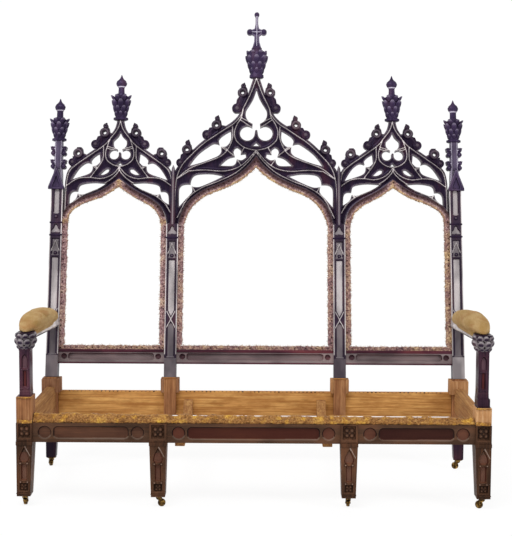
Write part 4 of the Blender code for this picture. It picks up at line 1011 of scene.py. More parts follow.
def leg_front(span, base):
    """Front of a leg: leaf panel, bands, pointed light, lower light and small leaf, from the head down."""
    head_x, head_half = span(0.30)
    outline = [(span(z)[0] + s * span(z)[1], z)
               for s, z in ((-1, FOOT_Z), (1, FOOT_Z), (1, RAIL_BOTTOM), (1, FACING_TOP), (-1, FACING_TOP),
                            (-1, RAIL_BOTTOM))]
    x1, x3 = span(0.17)[0], span(0.08)[0]
    light = [(x1 + u, z) for u, z in LEG_LIGHT + mirrored(LEG_LIGHT)[:-1]]
    panels = [(square(head_x, 0.2975, head_half - 0.007, 0.0295), 0.15), (light, 0.34),
              (square(x1, 0.1385, 0.0125, 0.0325), 0.34), (square(x3, 0.0800, 0.0175, 0.0170), 0.10)]
    # One bead, on the right slope only, painted pale as the highlight of light from the right
    beads = [[(x1 + 0.004, 0.2400), (x1 + 0.024, 0.2020)]]
    domes = quatrefoil(head_x, 0.2975, 0.022, 0.007) + quatrefoil(x3, 0.0800, 0.015, 0.005)
    # Cusp domes with painted highlights on their tops
    domes += [(x1 + s * 0.0135, z, 0.0068, 0.004, 0.9) for s in (-1, 1) for z in (0.1740, 0.1010)]
    # Sills painted a little pale as lit from above, the other slopes painted dark as shade
    front = board(outline, panels, beads, domes, FACING_BACK, LEG_SINK, LEG_SLOPE,
                  base=base, sill_wear=0.18, bead_wear=0.75, hollow=-0.5)
    marked_by(front, "blush", lambda co: 0.5 if co.y > 0.006 and 0.10 < co.z < 0.215 else 0.0)
    bands = []
    for z, tall, proud in LEG_BANDS:
        x, half = span(z)
        bands.append(bar((x, 0.006, z), (half + 0.4 * proud, 0.006 + proud, tall)))
    return [front] + bands


def tapered(centre_of, top_half, foot_half):
    """Middle and half width of a leg at a height."""
    def span(z):
        share = min(1.0, max(0.0, (z - FOOT_Z) / (RAIL_BOTTOM - FOOT_Z)))
        half = foot_half + (top_half - foot_half) * share
        return centre_of(half), half
    return span


def leg_core(span, high):
    """Plain tapered body of a leg behind its front."""
    rings = []
    for z in sorted({FOOT_Z, RAIL_BOTTOM, high}):
        x, half = span(z)
        share = min(1.0, (z - FOOT_Z) / (RAIL_BOTTOM - FOOT_Z))
        depth = LEG_FOOT_DEPTH + (LEG_DEPTH - LEG_FOOT_DEPTH) * share
        rings.append([(x - half, LEG_CORE_FRONT, z), (x + half, LEG_CORE_FRONT, z), (x + half, depth, z),
                      (x - half, depth, z)])
    return bevelled(loft(rings), FINE_ARRIS)


def front_legs():
    """Four front legs; the corner ones carry raw heads that the seat cover used to hide."""
    for label, side in SIDES:
        outer = side * (OUT_X + CORNER_LEG_WIDTH / 2)
        span = tapered(lambda half: outer - side * half, CORNER_LEG_WIDTH / 2, CORNER_FOOT_WIDTH / 2)
        x, half = span(FACING_TOP)
        raw_top = CORNER_BLOCK_TOP if side < 0 else RIGHT_BLOCK_TOP
        steps = (FACING_TOP, raw_top, 0.0008), (raw_top, CORNER_BLOCK_TOP, 0.007)
        head = [bevelled(box((x - half + inset, inset, low), (x + half - inset, LEG_DEPTH, high)), RAW_ARRIS)
                for low, high, inset in steps if low < high]

        def finish(centre, normal):
            return 0 if centre.z < FACING_TOP + 0.0002 else 1 if centre.z < raw_top else 2
        piece("carved_leg_corner_" + label, leg_front(span, -0.04) + [leg_core(span, FACING_TOP)] + head,
              [WARM_LEG, RAW_POST if side < 0 else RAW_FRESH, POST_WOOD],
              ["front_leg_corner_" + label], place=UPRIGHT, paint=finish)
        span = tapered(lambda half: side * MID_X, INNER_LEG_WIDTH / 2, INNER_FOOT_WIDTH / 2)
        piece("carved_leg_inner_" + label, leg_front(span, 0.15) + [leg_core(span, RAIL_BOTTOM)],
              WARM_LEG, ["front_leg_inner_" + label], place=UPRIGHT)


def facing(left, right, low, high, inset, radius, panel_height, thick, base=0.16, ground=0.12, hollow=-0.85):
    """Rail front with a long sunk panel, its corners rounded, between two roundels."""
    middle = (low + high) / 2
    ends = (left + inset, right - inset)
    reach = radius + 0.005
    panels = [(rounded(ends[0] + reach, ends[1] - reach, middle, panel_height, 0.35 * panel_height), ground)]
    for x in ends:
        panels.append((circle(x, middle, radius, 32), 0.22))
    outline = square((left + right) / 2, middle, (right - left) / 2 - GAP, (high - low) / 2)
    # Panel sills painted pale as lit from above, the other slopes painted dark as shade
    return board(outline, panels, [], [], thick, 0.4 * thick, 0.12 * panel_height,
                 base=base, sill_wear=0.42, hollow=hollow)


def between(inner, outer, upright):
    """The three bays between uprights of one width: label, left and right."""
    return ("left", -outer, -inner), ("centre", upright - inner, inner - upright), ("right", inner, outer)


def front_rails():
    """Facings of the front seat rail between the legs."""
    for label, left, right in between(MID_X + INNER_LEG_WIDTH / 2, CORNER_FACE, INNER_LEG_WIDTH):
        ground, blush = {"left": (0.16, 0.25), "centre": (-0.42, 0.7), "right": (-0.62, 0.6)}[label]
        thick = FACING_BACK - FACING_SETBACK
        face = facing(left, right, RAIL_BOTTOM, FACING_TOP, 0.046, 0.027, 0.052, thick, ground=ground)
        marked_by(face, "blush", lambda co: blush if co.y > 0.36 * thick else 0.0)
        set_back(face, FACING_SETBACK)
        piece("carved_front_rail_" + label, [face], WARM_RAIL, ["front_rail_" + label],
              place=UPRIGHT)


def lower_rails():
    """Rails under the back panels, with a bead along the top."""
    for label, left, right in between(INNER_FACE, STILE_FACE, STILE_WIDTH):
        face = facing(left, right, *LOWER_RAIL, 0.026, 0.013, 0.030, LOWER_RAIL_THICKNESS, 0.53, 0.47, -0.2)
        set_back(face, LOWER_RAIL_SETBACK)
        beads = [bar(((left + right) / 2, 0.0085, w), ((right - left) / 2 - GAP, 0.0045, tall))
                 for w, tall in ((LOWER_RAIL[1] - 0.0065, 0.0065), (LOWER_RAIL[0] + 0.0035, 0.003))]
        piece("carved_lower_rail_" + label, [face] + beads, ROSEWOOD_RAIL,
              ["lower_back_rail_" + label], place=RAKED)


def stile_front(x, top, upper, foot):
    """Carved front of a back stile from the kink up: lancet, crossing, long panel, gable and leaf."""
    half = STILE_WIDTH / 2
    inner = half - 0.0085
    lift = 0.010 if upper else 0.0
    leaf_w = 0.6435 if upper else 0.638

    def mark(u, w):
        return x + u * inner, w + lift
    # Panel grounds painted pale as a reflection on their polish
    panels = [(lancet(x, 0.084 + lift, 0.239 + lift, inner), 0.48),
              ([mark(-1, 0.288), mark(0, 0.253), mark(1, 0.288), mark(1, 0.512), mark(-1, 0.512)], 0.78),
              ([mark(-1, 0.517), mark(1, 0.517), mark(1, 0.594), mark(-1, 0.594)], 0.54),
              (threefoil(x, leaf_w, 0.0235), 0.60)]
    beads = [[mark(-1, 0.215), mark(1, 0.284)], [mark(1, 0.215), mark(-1, 0.284)],
             [mark(-1, 0.537), mark(0, 0.582), mark(1, 0.537)]]
    domes = [(x, 0.528 + lift, 0.008, 0.004, 0.6)]
    if upper:
        panels.append((rounded(x - inner + 0.003, x + inner - 0.003, 0.768, 0.116, 0.012), 0.66))
        domes.append((x, 0.699, 0.009, 0.004, 0.6))
    # Both long edges painted pale: rubbed wood and a painted highlight together
    sides = [[(x + s * (half - 0.001), 0.100), (x + s * (half - 0.001), top)] for s in (-1, 1)]
    front = board(square(x, top / 2, half, top / 2), panels, beads, domes, BOARD_BACK, STILE_SINK,
                  STILE_SLOPE, arrises=sides, plain=(0.082 + lift, foot), base=0.12, hollow=-0.15)
    bands = [bar((x, 0.004, w), (half + 0.002, 0.0065, tall))
             for w, tall in ((0.607 + lift, 0.0035), (0.672, 0.0035)) if w < top - 0.004]
    return [front] + bands


def stile_core(x, top):
    """Plain body of a raked stile behind its carved front."""
    half = STILE_WIDTH / 2
    heel = -STILE_DEPTH * math.tan(RAKE / 2)
    rings = [[(x - half, CORE_FRONT, front), (x + half, CORE_FRONT, front), (x + half, STILE_DEPTH, back),
              (x - half, STILE_DEPTH, back)] for front, back in ((0.0, heel), (top, top))]
    return bevelled(loft(rings), FINE_ARRIS)


def spire(x, side):
    """Gabled head of an outer stile: crocketed spire behind a proud pediment."""
    tall = SPIRE_TOP_W - EAVES_W
    crockets = [EAVES_W + share * tall for share in (0.50, 0.79)]

    def half_line(overhang):
        half = STILE_WIDTH / 2
        line = [(half - NIB, EAVES_W - 0.012), (half - NIB, EAVES_W - NIB), (half + overhang, EAVES_W),
                (half + overhang - NIB, EAVES_W + 0.07 * tall), (0.019, EAVES_W + 0.28 * tall)]
        for w in crockets:
            line += [(0.017, w - 0.024)] + arc(0.0235, w - 0.012, 0.0105, -120, 60, 10)
            line += [(0.0285, w + 0.001)] + arc(0.0270, w + 0.008, 0.0075, -70, 20, 5)
            line += [(0.0365, w + 0.0165), (0.0285, w + 0.019), (0.017, w + 0.018)]
        return line + [(0.016, SPIRE_TOP_W)]
    right = half_line(0.006 if side > 0 else -NIB / 2)
    left = half_line(0.006 if side < 0 else -NIB / 2)
    outline = [(x + u, w) for u, w in right + mirrored(left)]
    ridges = [[(x + s * 0.012, EAVES_W), (x + s * 0.012, SPIRE_TOP_W)] for s in (-1, 1)]
    lobes = []
    for w in crockets:
        for sign in (-1, 1):
            ridges.append([(x + sign * 0.012, w + 0.004), (x + sign * 0.034, w + 0.016)])
            lobes += [(x + sign * 0.0235, w - 0.012, 0.0105, 0.008),
                      (x + sign * 0.027, w + 0.008, 0.0075, 0.006)]
    plain = moulded([outline], ridges, 0.008, 0.014, 0.003)

    def relief(points):
        depth, wear = plain(points)
        for cx, cw, radius, lift in lobes:
            out = np.hypot(points[:, 0] - cx, points[:, 1] - cw) / radius
            dome = lift * np.sqrt(unit(1 - out ** 2)) * (1 - 0.35 * np.exp(-((out - 0.5) / 0.16) ** 2))
            depth = np.where(out < 1, 0.008 - dome, depth)
            # Lobe tops painted pale as highlights
            wear = np.where(out < 1, 0.45 * unit(1 - out / 0.5), wear)
        # The upper slopes of the spire are painted pale as lit from above; the flat face of the shaft is set
        # mid-pale
        slopes = (points[:, 1] > EAVES_W + 0.03) & (points[:, 1] < crockets[0] - 0.024)
        shaft_face = (np.abs(points[:, 0] - x) < 0.0105) & (points[:, 1] > crockets[0] - 0.024)
        return np.where(shaft_face, 0.003, depth), np.where(slopes, 0.65, np.where(shaft_face, 0.32, wear))
    shaft = carved([outline], relief, STILE_DEPTH - CORE_FRONT, SPIRE_STEP, ridges)
    set_back(shaft, 0.005)
    middle, half, eaves, apex = x + side * 0.004, 0.0345, EAVES_W - 0.004, EAVES_W + 0.088
    edge = [(middle - half, eaves - 0.010), (middle + half, eaves - 0.010), (middle + half, eaves),
            (middle, apex), (middle - half, eaves)]
    slot = [(middle - 0.017, eaves - 0.004), (middle + 0.017, eaves - 0.004), (middle + 0.017, eaves + 0.006),
            (middle, apex - 0.038), (middle - 0.017, eaves + 0.006)]
    crown = [[(middle + s * (half - 0.004), eaves + 0.002), (middle, apex - 0.010)] for s in (-1, 1)]
    # Crown beads of the pediment painted pale as highlights and its sills painted dark as shade
    gable = board(edge, [(slot, 0.10)], crown, [], BOARD_BACK, 0.006, 0.004, SPIRE_STEP, sill_wear=-0.3,
                  base=0.06, bead_wear=0.45)
    set_back(gable, -0.0065)
    return [shaft, gable]


COLONNETTE_FOOT = [(0.0, -0.004), (0.0135, -0.004), (0.0135, 0.006), (0.010, 0.012)]
COLONNETTE_HEAD = [(0.0095, -0.050), (0.012, -0.046), (0.0125, -0.040), (0.009, -0.036), (0.006, -0.014),
                   (0.0, 0.0)]


def stiles():
    """Back stiles: the outer ones run down as rear legs, the middle ones lap over the back seat rail."""
    knee = KINK_Z - STILE_DEPTH * math.tan(RAKE / 2)
    upright = RAKED.inverted() @ UPRIGHT

    def finish(centre, normal):
        if centre.z < BACK_RAIL_BOTTOM:
            return 2
        if centre.z < SEAT_RAIL_TOP + 0.05 and normal.y < 0.5:
            return 1
        return 3 if centre.z > KINK_Z + (EAVES_W - 0.013) * math.cos(RAKE) else 0
    for label, side in SIDES:
        x = side * OUT_X
        outer = x + side * STILE_WIDTH / 2
        rings = []
        for z, back_z, width, deep in ((FOOT_Z, FOOT_Z, REAR_FOOT_WIDTH, REAR_FOOT_DEPTH),
                                       (BACK_RAIL_BOTTOM, BACK_RAIL_BOTTOM, STILE_WIDTH, STILE_DEPTH),
                                       (SEAT_RAIL_TOP, SEAT_RAIL_TOP, STILE_WIDTH, STILE_DEPTH),
                                       (KINK_Z, knee, STILE_WIDTH, STILE_DEPTH)):
            inner, back = outer - side * width, BACK_Y + deep
            rings.append([(outer, BACK_Y, z), (inner, BACK_Y, z), (inner, back, back_z),
                          (outer, back, back_z)])
        leg = moved(bevelled(loft(rings), ARRIS), upright)
        # Rear legs painted dark as shade under the seat, the left one more
        marked_by(leg, "wear", lambda co: -0.8 if side < 0 else -0.45)
        piece("carved_outer_stile_" + label,
              stile_front(x, EAVES_W, True, 0.47 if side < 0 else 0.68) + [stile_core(x, EAVES_W), leg]
              + spire(x, side), [ROSEWOOD, RAW_POST, POST_WOOD, ROSEWOOD_HEAD],
              ["outer_stile_" + label], place=RAKED, paint=finish)
        x = side * MID_X
        half = STILE_WIDTH / 2
        lower = [box((x - half, BACK_Y, MID_STILE_BOTTOM), (x + half, BACK_Y + STILE_LAP, KINK_Z)),
                 box((x - half, BACK_Y + STILE_LAP - 0.001, SEAT_RAIL_TOP + GAP),
                     (x + half, BACK_Y + STILE_DEPTH, knee))]
        lower = [moved(bevelled(part, ARRIS), upright) for part in lower]
        top = SPRING_W - GAP
        foot = [(radius, SPRING_W + w) for radius, w in COLONNETTE_FOOT]
        shaft = turned(foot + [(radius, COLONNETTE_TOP_W + w) for radius, w in COLONNETTE_HEAD], 20)
        shaft = moved(shaft, Matrix.Translation((x, 0.0085, 0)) @ Matrix.Diagonal((1, 0.55, 1, 1)))
        # Painted highlight down the middle of the shaft, fading to painted shade at its sides
        marked_by(shaft, "wear", lambda co: 0.56 - 70 * abs(co.x - x))
        piece("carved_mid_stile_" + label,
              stile_front(x, top, False, 0.46 if side < 0 else 0.38) + [stile_core(x, top), shaft] + lower,
              [ROSEWOOD, RAW_POST], ["mid_stile_" + label], place=RAKED,
              paint=lambda centre, normal: 1 if centre.z < KINK_Z + 0.0005 else 0)


# Turned and leafy pieces
SIDE_FINIAL = [(0, 24), (4, 33), (12, 33), (17, 24), (30, 23), (70, 26), (104, 28), (112, 30), (116, 24),
               (123, 22), (125, 14.5), (152, 13), (153, 16), (156, 16), (160, 21), (171, 25), (182, 21),
               (190, 12), (198, 6), (205, 3.5), (212, 1)]
PINNACLE = [(0, 24), (3, 32), (11, 32), (16, 23), (28, 22), (66, 25), (94, 27), (99, 29), (103, 24),
            (108, 22), (110, 14.5), (137, 14), (138, 16.5), (141, 16.5), (146, 21), (157, 24), (168, 19),
            (175, 11), (182, 6), (189, 3.5), (195, 1)]
CENTRE_BULB = [(0, 26), (4, 32), (14, 32), (22, 27), (32, 29), (70, 40), (104, 46), (122, 42), (134, 24),
               (140, 18)]
CENTRE_CROSS = [(15, 128), (20, 142), (12, 170), (11, 198)] + arc(31, 216, 14, -130, 130, 13)
CENTRE_CROSS += [(10, 232), (6, 254), (6, 284)] + arc(0, 298, 11, -50, 90, 9)
# Tiers of leaves: how many, their radius and height, each leaf's width, height, thickness and curl, the phase
CENTRE_TIERS = [(8, 26, 22, 21, 26, 15, 5, 0.0), (8, 31, 40, 25, 34, 19, 9, 0.5),
                (8, 37, 66, 29, 38, 22, 11, 0.0), (8, 36, 98, 25, 28, 18, 10, 0.5)]
SIDE_TIERS = [(7, 22, 18, 18, 24, 14, 5, 0.0), (7, 25, 34, 23, 34, 18, 9, 0.5),
              (7, 29, 58, 27, 38, 21, 12, 0.0), (7, 31, 90, 24, 26, 18, 14, 0.5),
              (8, 12, 150, 12, 34, 12, 0, 0.0)]
PINNACLE_TIERS = [(7, 21, 16, 18, 22, 13, 5, 0.0), (7, 25, 31, 22, 30, 17, 9, 0.5),
                  (7, 28, 52, 26, 34, 20, 12, 0.0), (7, 30, 80, 23, 22, 18, 13, 0.5),
                  (8, 12, 136, 11, 32, 11, 0, 0.0)]
# On the centre finial, in metres: the knop, the cross's balls (across, up, radius) and its depth
KNOP = [(0, 0.128), (0.020, 0.132), (0.024, 0.139), (0.019, 0.147), (0.012, 0.152), (0, 0.154)]
CROSS_BALLS = [(0, 0.298, 0.0115), (-0.032, 0.216, 0.0130), (0.032, 0.216, 0.0130)]
CROSS_DEPTH = 0.018
FINIAL_FLATNESS = 0.62
FINIAL_DEPTH = CREST_SETBACK + CREST_THICKNESS / 2


def lathe(profile):
    return turned([(0, 0)] + [(radius * MM, height * MM) for height, radius in profile]
                  + [(0, profile[-1][0] * MM)], 40)


def lobed(wide, tall, thick, curl, glint=0.42, ground=-0.15):
    """Carved leaf lobe: a round swelling with a middle groove, whose tip rolls out to -y."""
    rows, steps = 9, 12
    rings = []
    for i in range(rows):
        t = i / (rows - 1)
        half = math.sin(math.pi * (0.08 + 0.84 * t)) ** 0.7
        out = curl * t ** 2
        ring = []
        for j in range(steps):
            a = math.tau * j / steps
            groove = 1 - 0.28 * math.exp(-(math.sin(a) / 0.35) ** 2) * (math.cos(a) > 0)
            ring.append((wide / 2 * half * math.sin(a), -out - thick / 2 * half * math.cos(a) * groove,
                         tall * t))
        rings.append(ring)
    shape = loft(rings)
    # Upper front of each lobe painted pale as a glint, the rest set to ground, painted shade when below 0
    marked_by(shape, "wear", lambda co: glint * max(0.0, min(1.0, (co.z / tall - 0.55) / 0.25))
              if co.y < -0.3 * thick - 0.3 * curl else ground)
    return shape


def tier(count, radius, height, wide, tall, thick, curl, phase):
    """Ring of leaf lobes round an axis, in millimetres."""
    shape = lobed(wide * MM, tall * MM, thick * MM, curl * MM)
    stand = Matrix.Translation((0, -radius * MM, height * MM))
    return [moved(shape, Matrix.Rotation(math.tau * (i + phase) / count, 4, "Z") @ stand)
            for i in range(count)]


def finial(profile, x, depth, seat, tiers):
    """Turned finial dressed with tiers of carved lobes, standing on the raked back."""
    body = lathe(profile)
    necks = [height * MM for (height, wide), (_, next_wide) in zip(profile[1:], profile[2:])
             if height > 120 and wide == next_wide]
    # A thin ring at the first neck painted pale as a highlight
    marked_by(body, "wear", lambda co: 0.9 if necks and abs(co.z - necks[0] - 0.0015) < 0.0018 else 0.0)
    meshes = [body] + [mesh for row in tiers for mesh in tier(*row)]
    stand = Matrix.Translation((x, depth, seat + GAP)) @ Matrix.Diagonal((1, FINIAL_FLATNESS, 1, 1))
    return [moved(mesh, stand) for mesh in meshes]


def finials():
    """Foliate finials of the crests and pinnacles of the outer stiles."""
    seat = SPRING_W + CENTRE_RISE
    made = finial(CENTRE_BULB, 0.0, FINIAL_DEPTH, seat, CENTRE_TIERS)
    outline = [(u * MM, seat + w * MM) for u, w in CENTRE_CROSS + mirrored(CENTRE_CROSS)[1:]]
    ridges = [[(0, seat + 0.130), (0, seat + 0.306)], [(-0.040, seat + 0.216), (0.040, seat + 0.216)]]
    cross = carved([outline], moulded([outline], ridges, 0.004, 0.010, 0.004), CROSS_DEPTH, FINE_STEP, ridges)
    set_back(cross, FINIAL_DEPTH - CROSS_DEPTH / 2)
    balls = []
    for u, w, radius in CROSS_BALLS:
        half_round = [(radius * math.sin(math.pi * i / 12), -radius * math.cos(math.pi * i / 12))
                      for i in range(13)]
        balls.append(moved(turned(half_round, 20), Matrix.Translation((u, FINIAL_DEPTH, seat + w))))
    knop = moved(turned(KNOP, 24), Matrix.Translation((0, FINIAL_DEPTH, seat))
                 @ Matrix.Diagonal((1, FINIAL_FLATNESS, 1, 1)))
    piece("carved_finial_centre", made + [cross, knop] + balls, ROSEWOOD_HEAD, ["finial_centre"],
          place=RAKED)
    for label, side in SIDES:
        made = finial(SIDE_FINIAL, side * SIDE_MIDDLE, FINIAL_DEPTH, SPRING_W + SIDE_RISE, SIDE_TIERS)
        piece("carved_finial_" + label, made, ROSEWOOD_HEAD, ["finial_" + label], place=RAKED)
        made = finial(PINNACLE, side * OUT_X, STILE_DEPTH / 2, SPIRE_TOP_W, PINNACLE_TIERS)
        piece("carved_pinnacle_" + label, made, ROSEWOOD_HEAD, ["pinnacle_" + label], place=RAKED)


# Arms
POST_Y = LEG_DEPTH / 2
POST_INSET = 0.003
# Rings of knobs on a capital: how many, their radius and height, a knob's size, the phase
CAPITAL_LOBES = [(10, 0.0235, 0.017, 0.0095, 0.0), (8, 0.0275, 0.037, 0.0140, 0.5),
                 (9, 0.0265, 0.058, 0.0125, 0.0)]
ARM_FLARE = 0.010
ARM_SECTION = [(0.45, 0), (0.55, 0.17), (1, 0.27), (1, 0.46), (0.90, 0.54), (0.90, 0.82), (0.72, 1)]
ARM_FRONT = POST_Y + CAPITAL_WIDTH / 2 + GAP
ARM_REAR = CAPITAL_TOP - ARM_DROP


def arm_end(z):
    """Where an arm at height z meets the front of the raked stile."""
    return BACK_Y + (z - KINK_Z) * math.tan(RAKE) - GAP


def section(x, y, z, half_x, half_y, ease):
    """Level ring of a square section with rounded corners."""
    ring = []
    for cx, cy, start in ((1, 1, 0), (-1, 1, 90), (-1, -1, 180), (1, -1, 270)):
        ring += arc(x + cx * (half_x - ease), y + cy * (half_y - ease), ease, start, start + 90, 5)
    return [(a, b, z) for a, b in ring]


def arm_post(label, side):
    """Post with a pointed panel, a ringed foot and a leafy capital."""
    half, deep, full = POST_WIDTH / 2 - POST_INSET, POST_DEPTH / 2, CAPITAL_WIDTH / 2
    low, front = CORNER_BLOCK_TOP + GAP, POST_Y - POST_DEPTH / 2
    x = side * (OUT_X - POST_INSET)
    panels = [(lancet(x, low + 0.106, POST_TOP - 0.010, half - 0.008), 0.34),
              (square(x, low + 0.067, half - 0.012, 0.034), 0.0)]
    # Small domes whose tops are painted highlights
    domes = [(x + s * 0.011, low + z, 0.005, 0.003, 0.7) for s in (-1, 1) for z in (0.1035, 0.0300)]
    face = board(square(x, (low + POST_TOP) / 2, half, (POST_TOP - low) / 2), panels, [], domes,
                 BOARD_BACK, STILE_SINK, POST_SLOPE, plain=(low + 0.026, 0.28), sill_wear=0.15)
    marked_by(face, "blush", lambda co: 0.75 if 0.0062 < co.y < 0.0072 and co.z < low + 0.102 else 0.0)
    set_back(face, front)
    core = bevelled(box((x - half, front + CORE_FRONT, low), (x + half, front + POST_DEPTH, POST_TOP)),
                    FINE_ARRIS)
    foot = [bar((x, POST_Y, low + z), (half + out, deep + out, tall))
            for z, tall, out in ((0.006, 0.006, 0.0008), (0.0155, 0.002, 0.0008))]
    tall = CAPITAL_TOP - POST_TOP
    shape = [(0.0, half, deep), (0.05, half + 0.002, deep + 0.002), (0.14, half + 0.002, deep + 0.002),
             (0.20, half - 0.003, deep - 0.003), (0.60, full - 0.017, full - 0.017),
             (0.90, full - 0.012, full - 0.012), (1.0, full - 0.010, full - 0.010)]
    bell = loft([section(x, POST_Y, POST_TOP + share * tall, a, b, 0.006) for share, a, b in shape])
    lobes = []
    for count, radius, height, size, phase in CAPITAL_LOBES:
        for i in range(count):
            angle = math.tau * (i + phase) / count
            squared = max(abs(math.cos(angle)), abs(math.sin(angle))) ** -0.6
            # Knobs of the capital, each with a painted glint on its upper front
            knob = moved(lobed(2.0 * size, 1.95 * size, 2.0 * size, 0.5 * size, 0.62, 0.52),
                         Matrix.Rotation(angle + math.pi / 2, 4, "Z"))
            lobes.append(moved(knob, Matrix.Translation((x + squared * radius * math.cos(angle),
                                                         POST_Y + squared * radius * math.sin(angle),
                                                         POST_TOP + height - 1.15 * size))))
    piece("carved_arm_post_" + label, [face, core, bell] + foot + lobes, [POST_WOOD, ROSEWOOD],
          ["arm_post_" + label], place=UPRIGHT,
          paint=lambda centre, normal: 1 if centre.z > POST_TOP + 0.008 else 0)


def arm_rail(label, side):
    """Moulded rail from the capital back to the stile."""
    x = side * OUT_X
    arm = []
    for t in (0, 0.12, 0.3, 0.5, 0.7, 0.88, 1):
        top = CAPITAL_TOP + (ARM_REAR - CAPITAL_TOP) * t
        ring = []
        for u, v in ARM_SECTION + mirrored(ARM_SECTION):
            z = top - ARM_THICKNESS * (1 - v)
            y = ARM_FRONT + (arm_end(z) - ARM_FRONT) * t
            ring.append((x + u * ARM_WIDTH / 2 - side * ARM_FLARE * t * (u * side < 0), y, z))
        arm.append(ring)
    rail = bevelled(loft(arm), FINE_ARRIS)
    # The inner face painted near white as the reflection on its polish, the rest painted dark as shade
    marked_by(rail, "wear", lambda co: 1.0 if -side * (co.x - x) > 0.8 * ARM_WIDTH / 2 else -0.6)
    piece("arm_rail_moulded_" + label, [rail], ROSEWOOD, ["arm_rail_" + label], place=UPRIGHT)


def arms():
    """Each side's post and the rail behind it."""
    for label, side in SIDES:
        arm_post(label, side)
        arm_rail(label, side)


# Seat frame of raw wood
TACK_RAIL_FRONT = FACING_BACK + GAP
TACK_RAIL_BACK = TACK_RAIL_FRONT + TACK_RAIL_DEPTH
BACK_RAIL_FRONT = BACK_Y + STILE_LAP + GAP
BACK_RAIL_BACK = BACK_RAIL_FRONT + BACK_RAIL_DEPTH


def side_rail(label, side):
    """Side rail: a carved face outside, raw wood inside and on top."""
    x = side * OUT_X
    front, back, step = LEG_DEPTH + GAP, BACK_Y - GAP, BACK_Y - PACKING_WALL - GAP
    face = facing(front, back, RAIL_BOTTOM, SEAT_RAIL_TOP, 0.052, 0.027, 0.034, 0.012)
    turn = Matrix.Rotation(math.pi / 2 * side, 4, "Z")
    across = Matrix.Translation((x + side * SIDE_RAIL_HALF, 0 if side > 0 else front + back, 0)) @ turn
    low, high = sorted((x - side * SIDE_RAIL_HALF, x + side * 0.007))
    wide = (x - SIDE_RAIL_HALF, x + SIDE_RAIL_HALF)
    inner = [box((low, front, RAIL_BOTTOM), (high, back, SEAT_RAIL_TOP)),
             box((wide[0], front, SEAT_RAIL_TOP - 0.001), (wide[1], step, SIDE_RAIL_TOP))]

    def finish(centre, normal):
        return 0 if side * (centre.x - x) > 0.0072 and centre.z < SEAT_RAIL_TOP - 0.0005 else 1
    piece("side_rail_faced_" + label,
          [moved(face, across)] + [bevelled(part, SIDE_ARRIS) for part in inner], [WARM_RAIL, RAW_SIDE],
          ["side_rail_" + label], place=UPRIGHT, paint=finish)


def cross_batten(label, side):
    """Batten that dips under the seat from the front rail to the back one."""
    front, back = TACK_RAIL_BACK + GAP, BACK_RAIL_FRONT - GAP
    x = side * BATTEN_X
    outline = [(front, BATTEN_LOW), (back, BATTEN_LOW), (back, BATTEN_TOP), (back - 0.020, BATTEN_TOP),
               (back - 0.060, BATTEN_DIP), (front + 0.060, BATTEN_DIP), (front + 0.020, BATTEN_TOP),
               (front, BATTEN_TOP)]
    batten = loft([[(x + s * BATTEN_HALF, y, z) for y, z in outline] for s in (-1, 1)])
    piece("batten_" + label, [bevelled(batten, ARRIS)], RAW_SIDE, ["cross_brace_" + label],
          place=UPRIGHT)


def packing(name, x, side, closed):
    """Packing on three sides of a stile, closed in front of it or behind."""
    inner, low = STILE_WIDTH / 2 + GAP, SEAT_RAIL_TOP + GAP
    outer = inner + PACKING_WALL
    back = BACK_Y + STILE_DEPTH
    if closed:
        web, end, face_y = BACK_Y - PACKING_WALL, back, BACK_Y - GAP
    else:
        web, end, face_y = back + GAP + PACKING_WEB, BACK_Y, back + GAP
    blocks = [box((x - outer, min(web, face_y), low),
                  (x + outer, max(web, face_y), low + PACKING_HEIGHT - 0.002))]
    for s in (-1, 1):
        blocks.append(box((min(x + s * inner, x + s * outer), min(end, face_y), low),
                          (max(x + s * inner, x + s * outer), max(end, face_y),
                           low + PACKING_HEIGHT)))
    piece(name.replace("packing", "pine_packing"), [bevelled(block, FINE_ARRIS) for block in blocks],
          PINE if side < 0 else PINE_FRESH, [name], place=UPRIGHT)


def seat_frame():
    """Tacking rail, back rail, side rails, battens and the packings round the stiles."""
    rail = bevelled(box((-CORNER_FACE + GAP, TACK_RAIL_FRONT, RAIL_BOTTOM),
                        (CORNER_FACE - GAP, TACK_RAIL_BACK, TACK_RAIL_TOP)), RAW_ARRIS)
    piece("tacking_rail", [rail], RAW_RAIL, ["front_tack_rail"], place=UPRIGHT)
    span = STILE_FACE - GAP
    rail = bevelled(box((-span, BACK_RAIL_FRONT, BACK_RAIL_BOTTOM), (span, BACK_RAIL_BACK, SEAT_RAIL_TOP)),
                    RAW_ARRIS)
    piece("back_rail", [rail], RAW_RAIL, ["back_seat_rail"], place=UPRIGHT)
    for label, side in SIDES:
        side_rail(label, side)
        cross_batten(label, side)
        packing("packing_outer_" + label, side * OUT_X, side, True)
        packing("packing_mid_" + label, side * MID_X, side, False)


# Soft and torn pieces
PAD_WIDTH = 0.111
PAD_INSET = 0.003
PAD_TURN = 0.011
PAD_LENGTH = 0.440
PAD_HEIGHT = 0.068
PAD_FRONT = 0.014
PAD_SLACK = 0.005
PAD_NOSE = (2.6, 2.0)
PAD_TAIL = (4.2, 2.4)
PAD_VOXEL = 0.005
PAD_PRESSURE = 4.0
PAD_SWELL = 0.007
PAD_FRAMES = 20
PAD_SECTION = [(0, 0), (0.72, 0), (0.95, 0.20), (1, 0.45), (0.87, 0.75), (0.5, 0.94), (0, 1)]
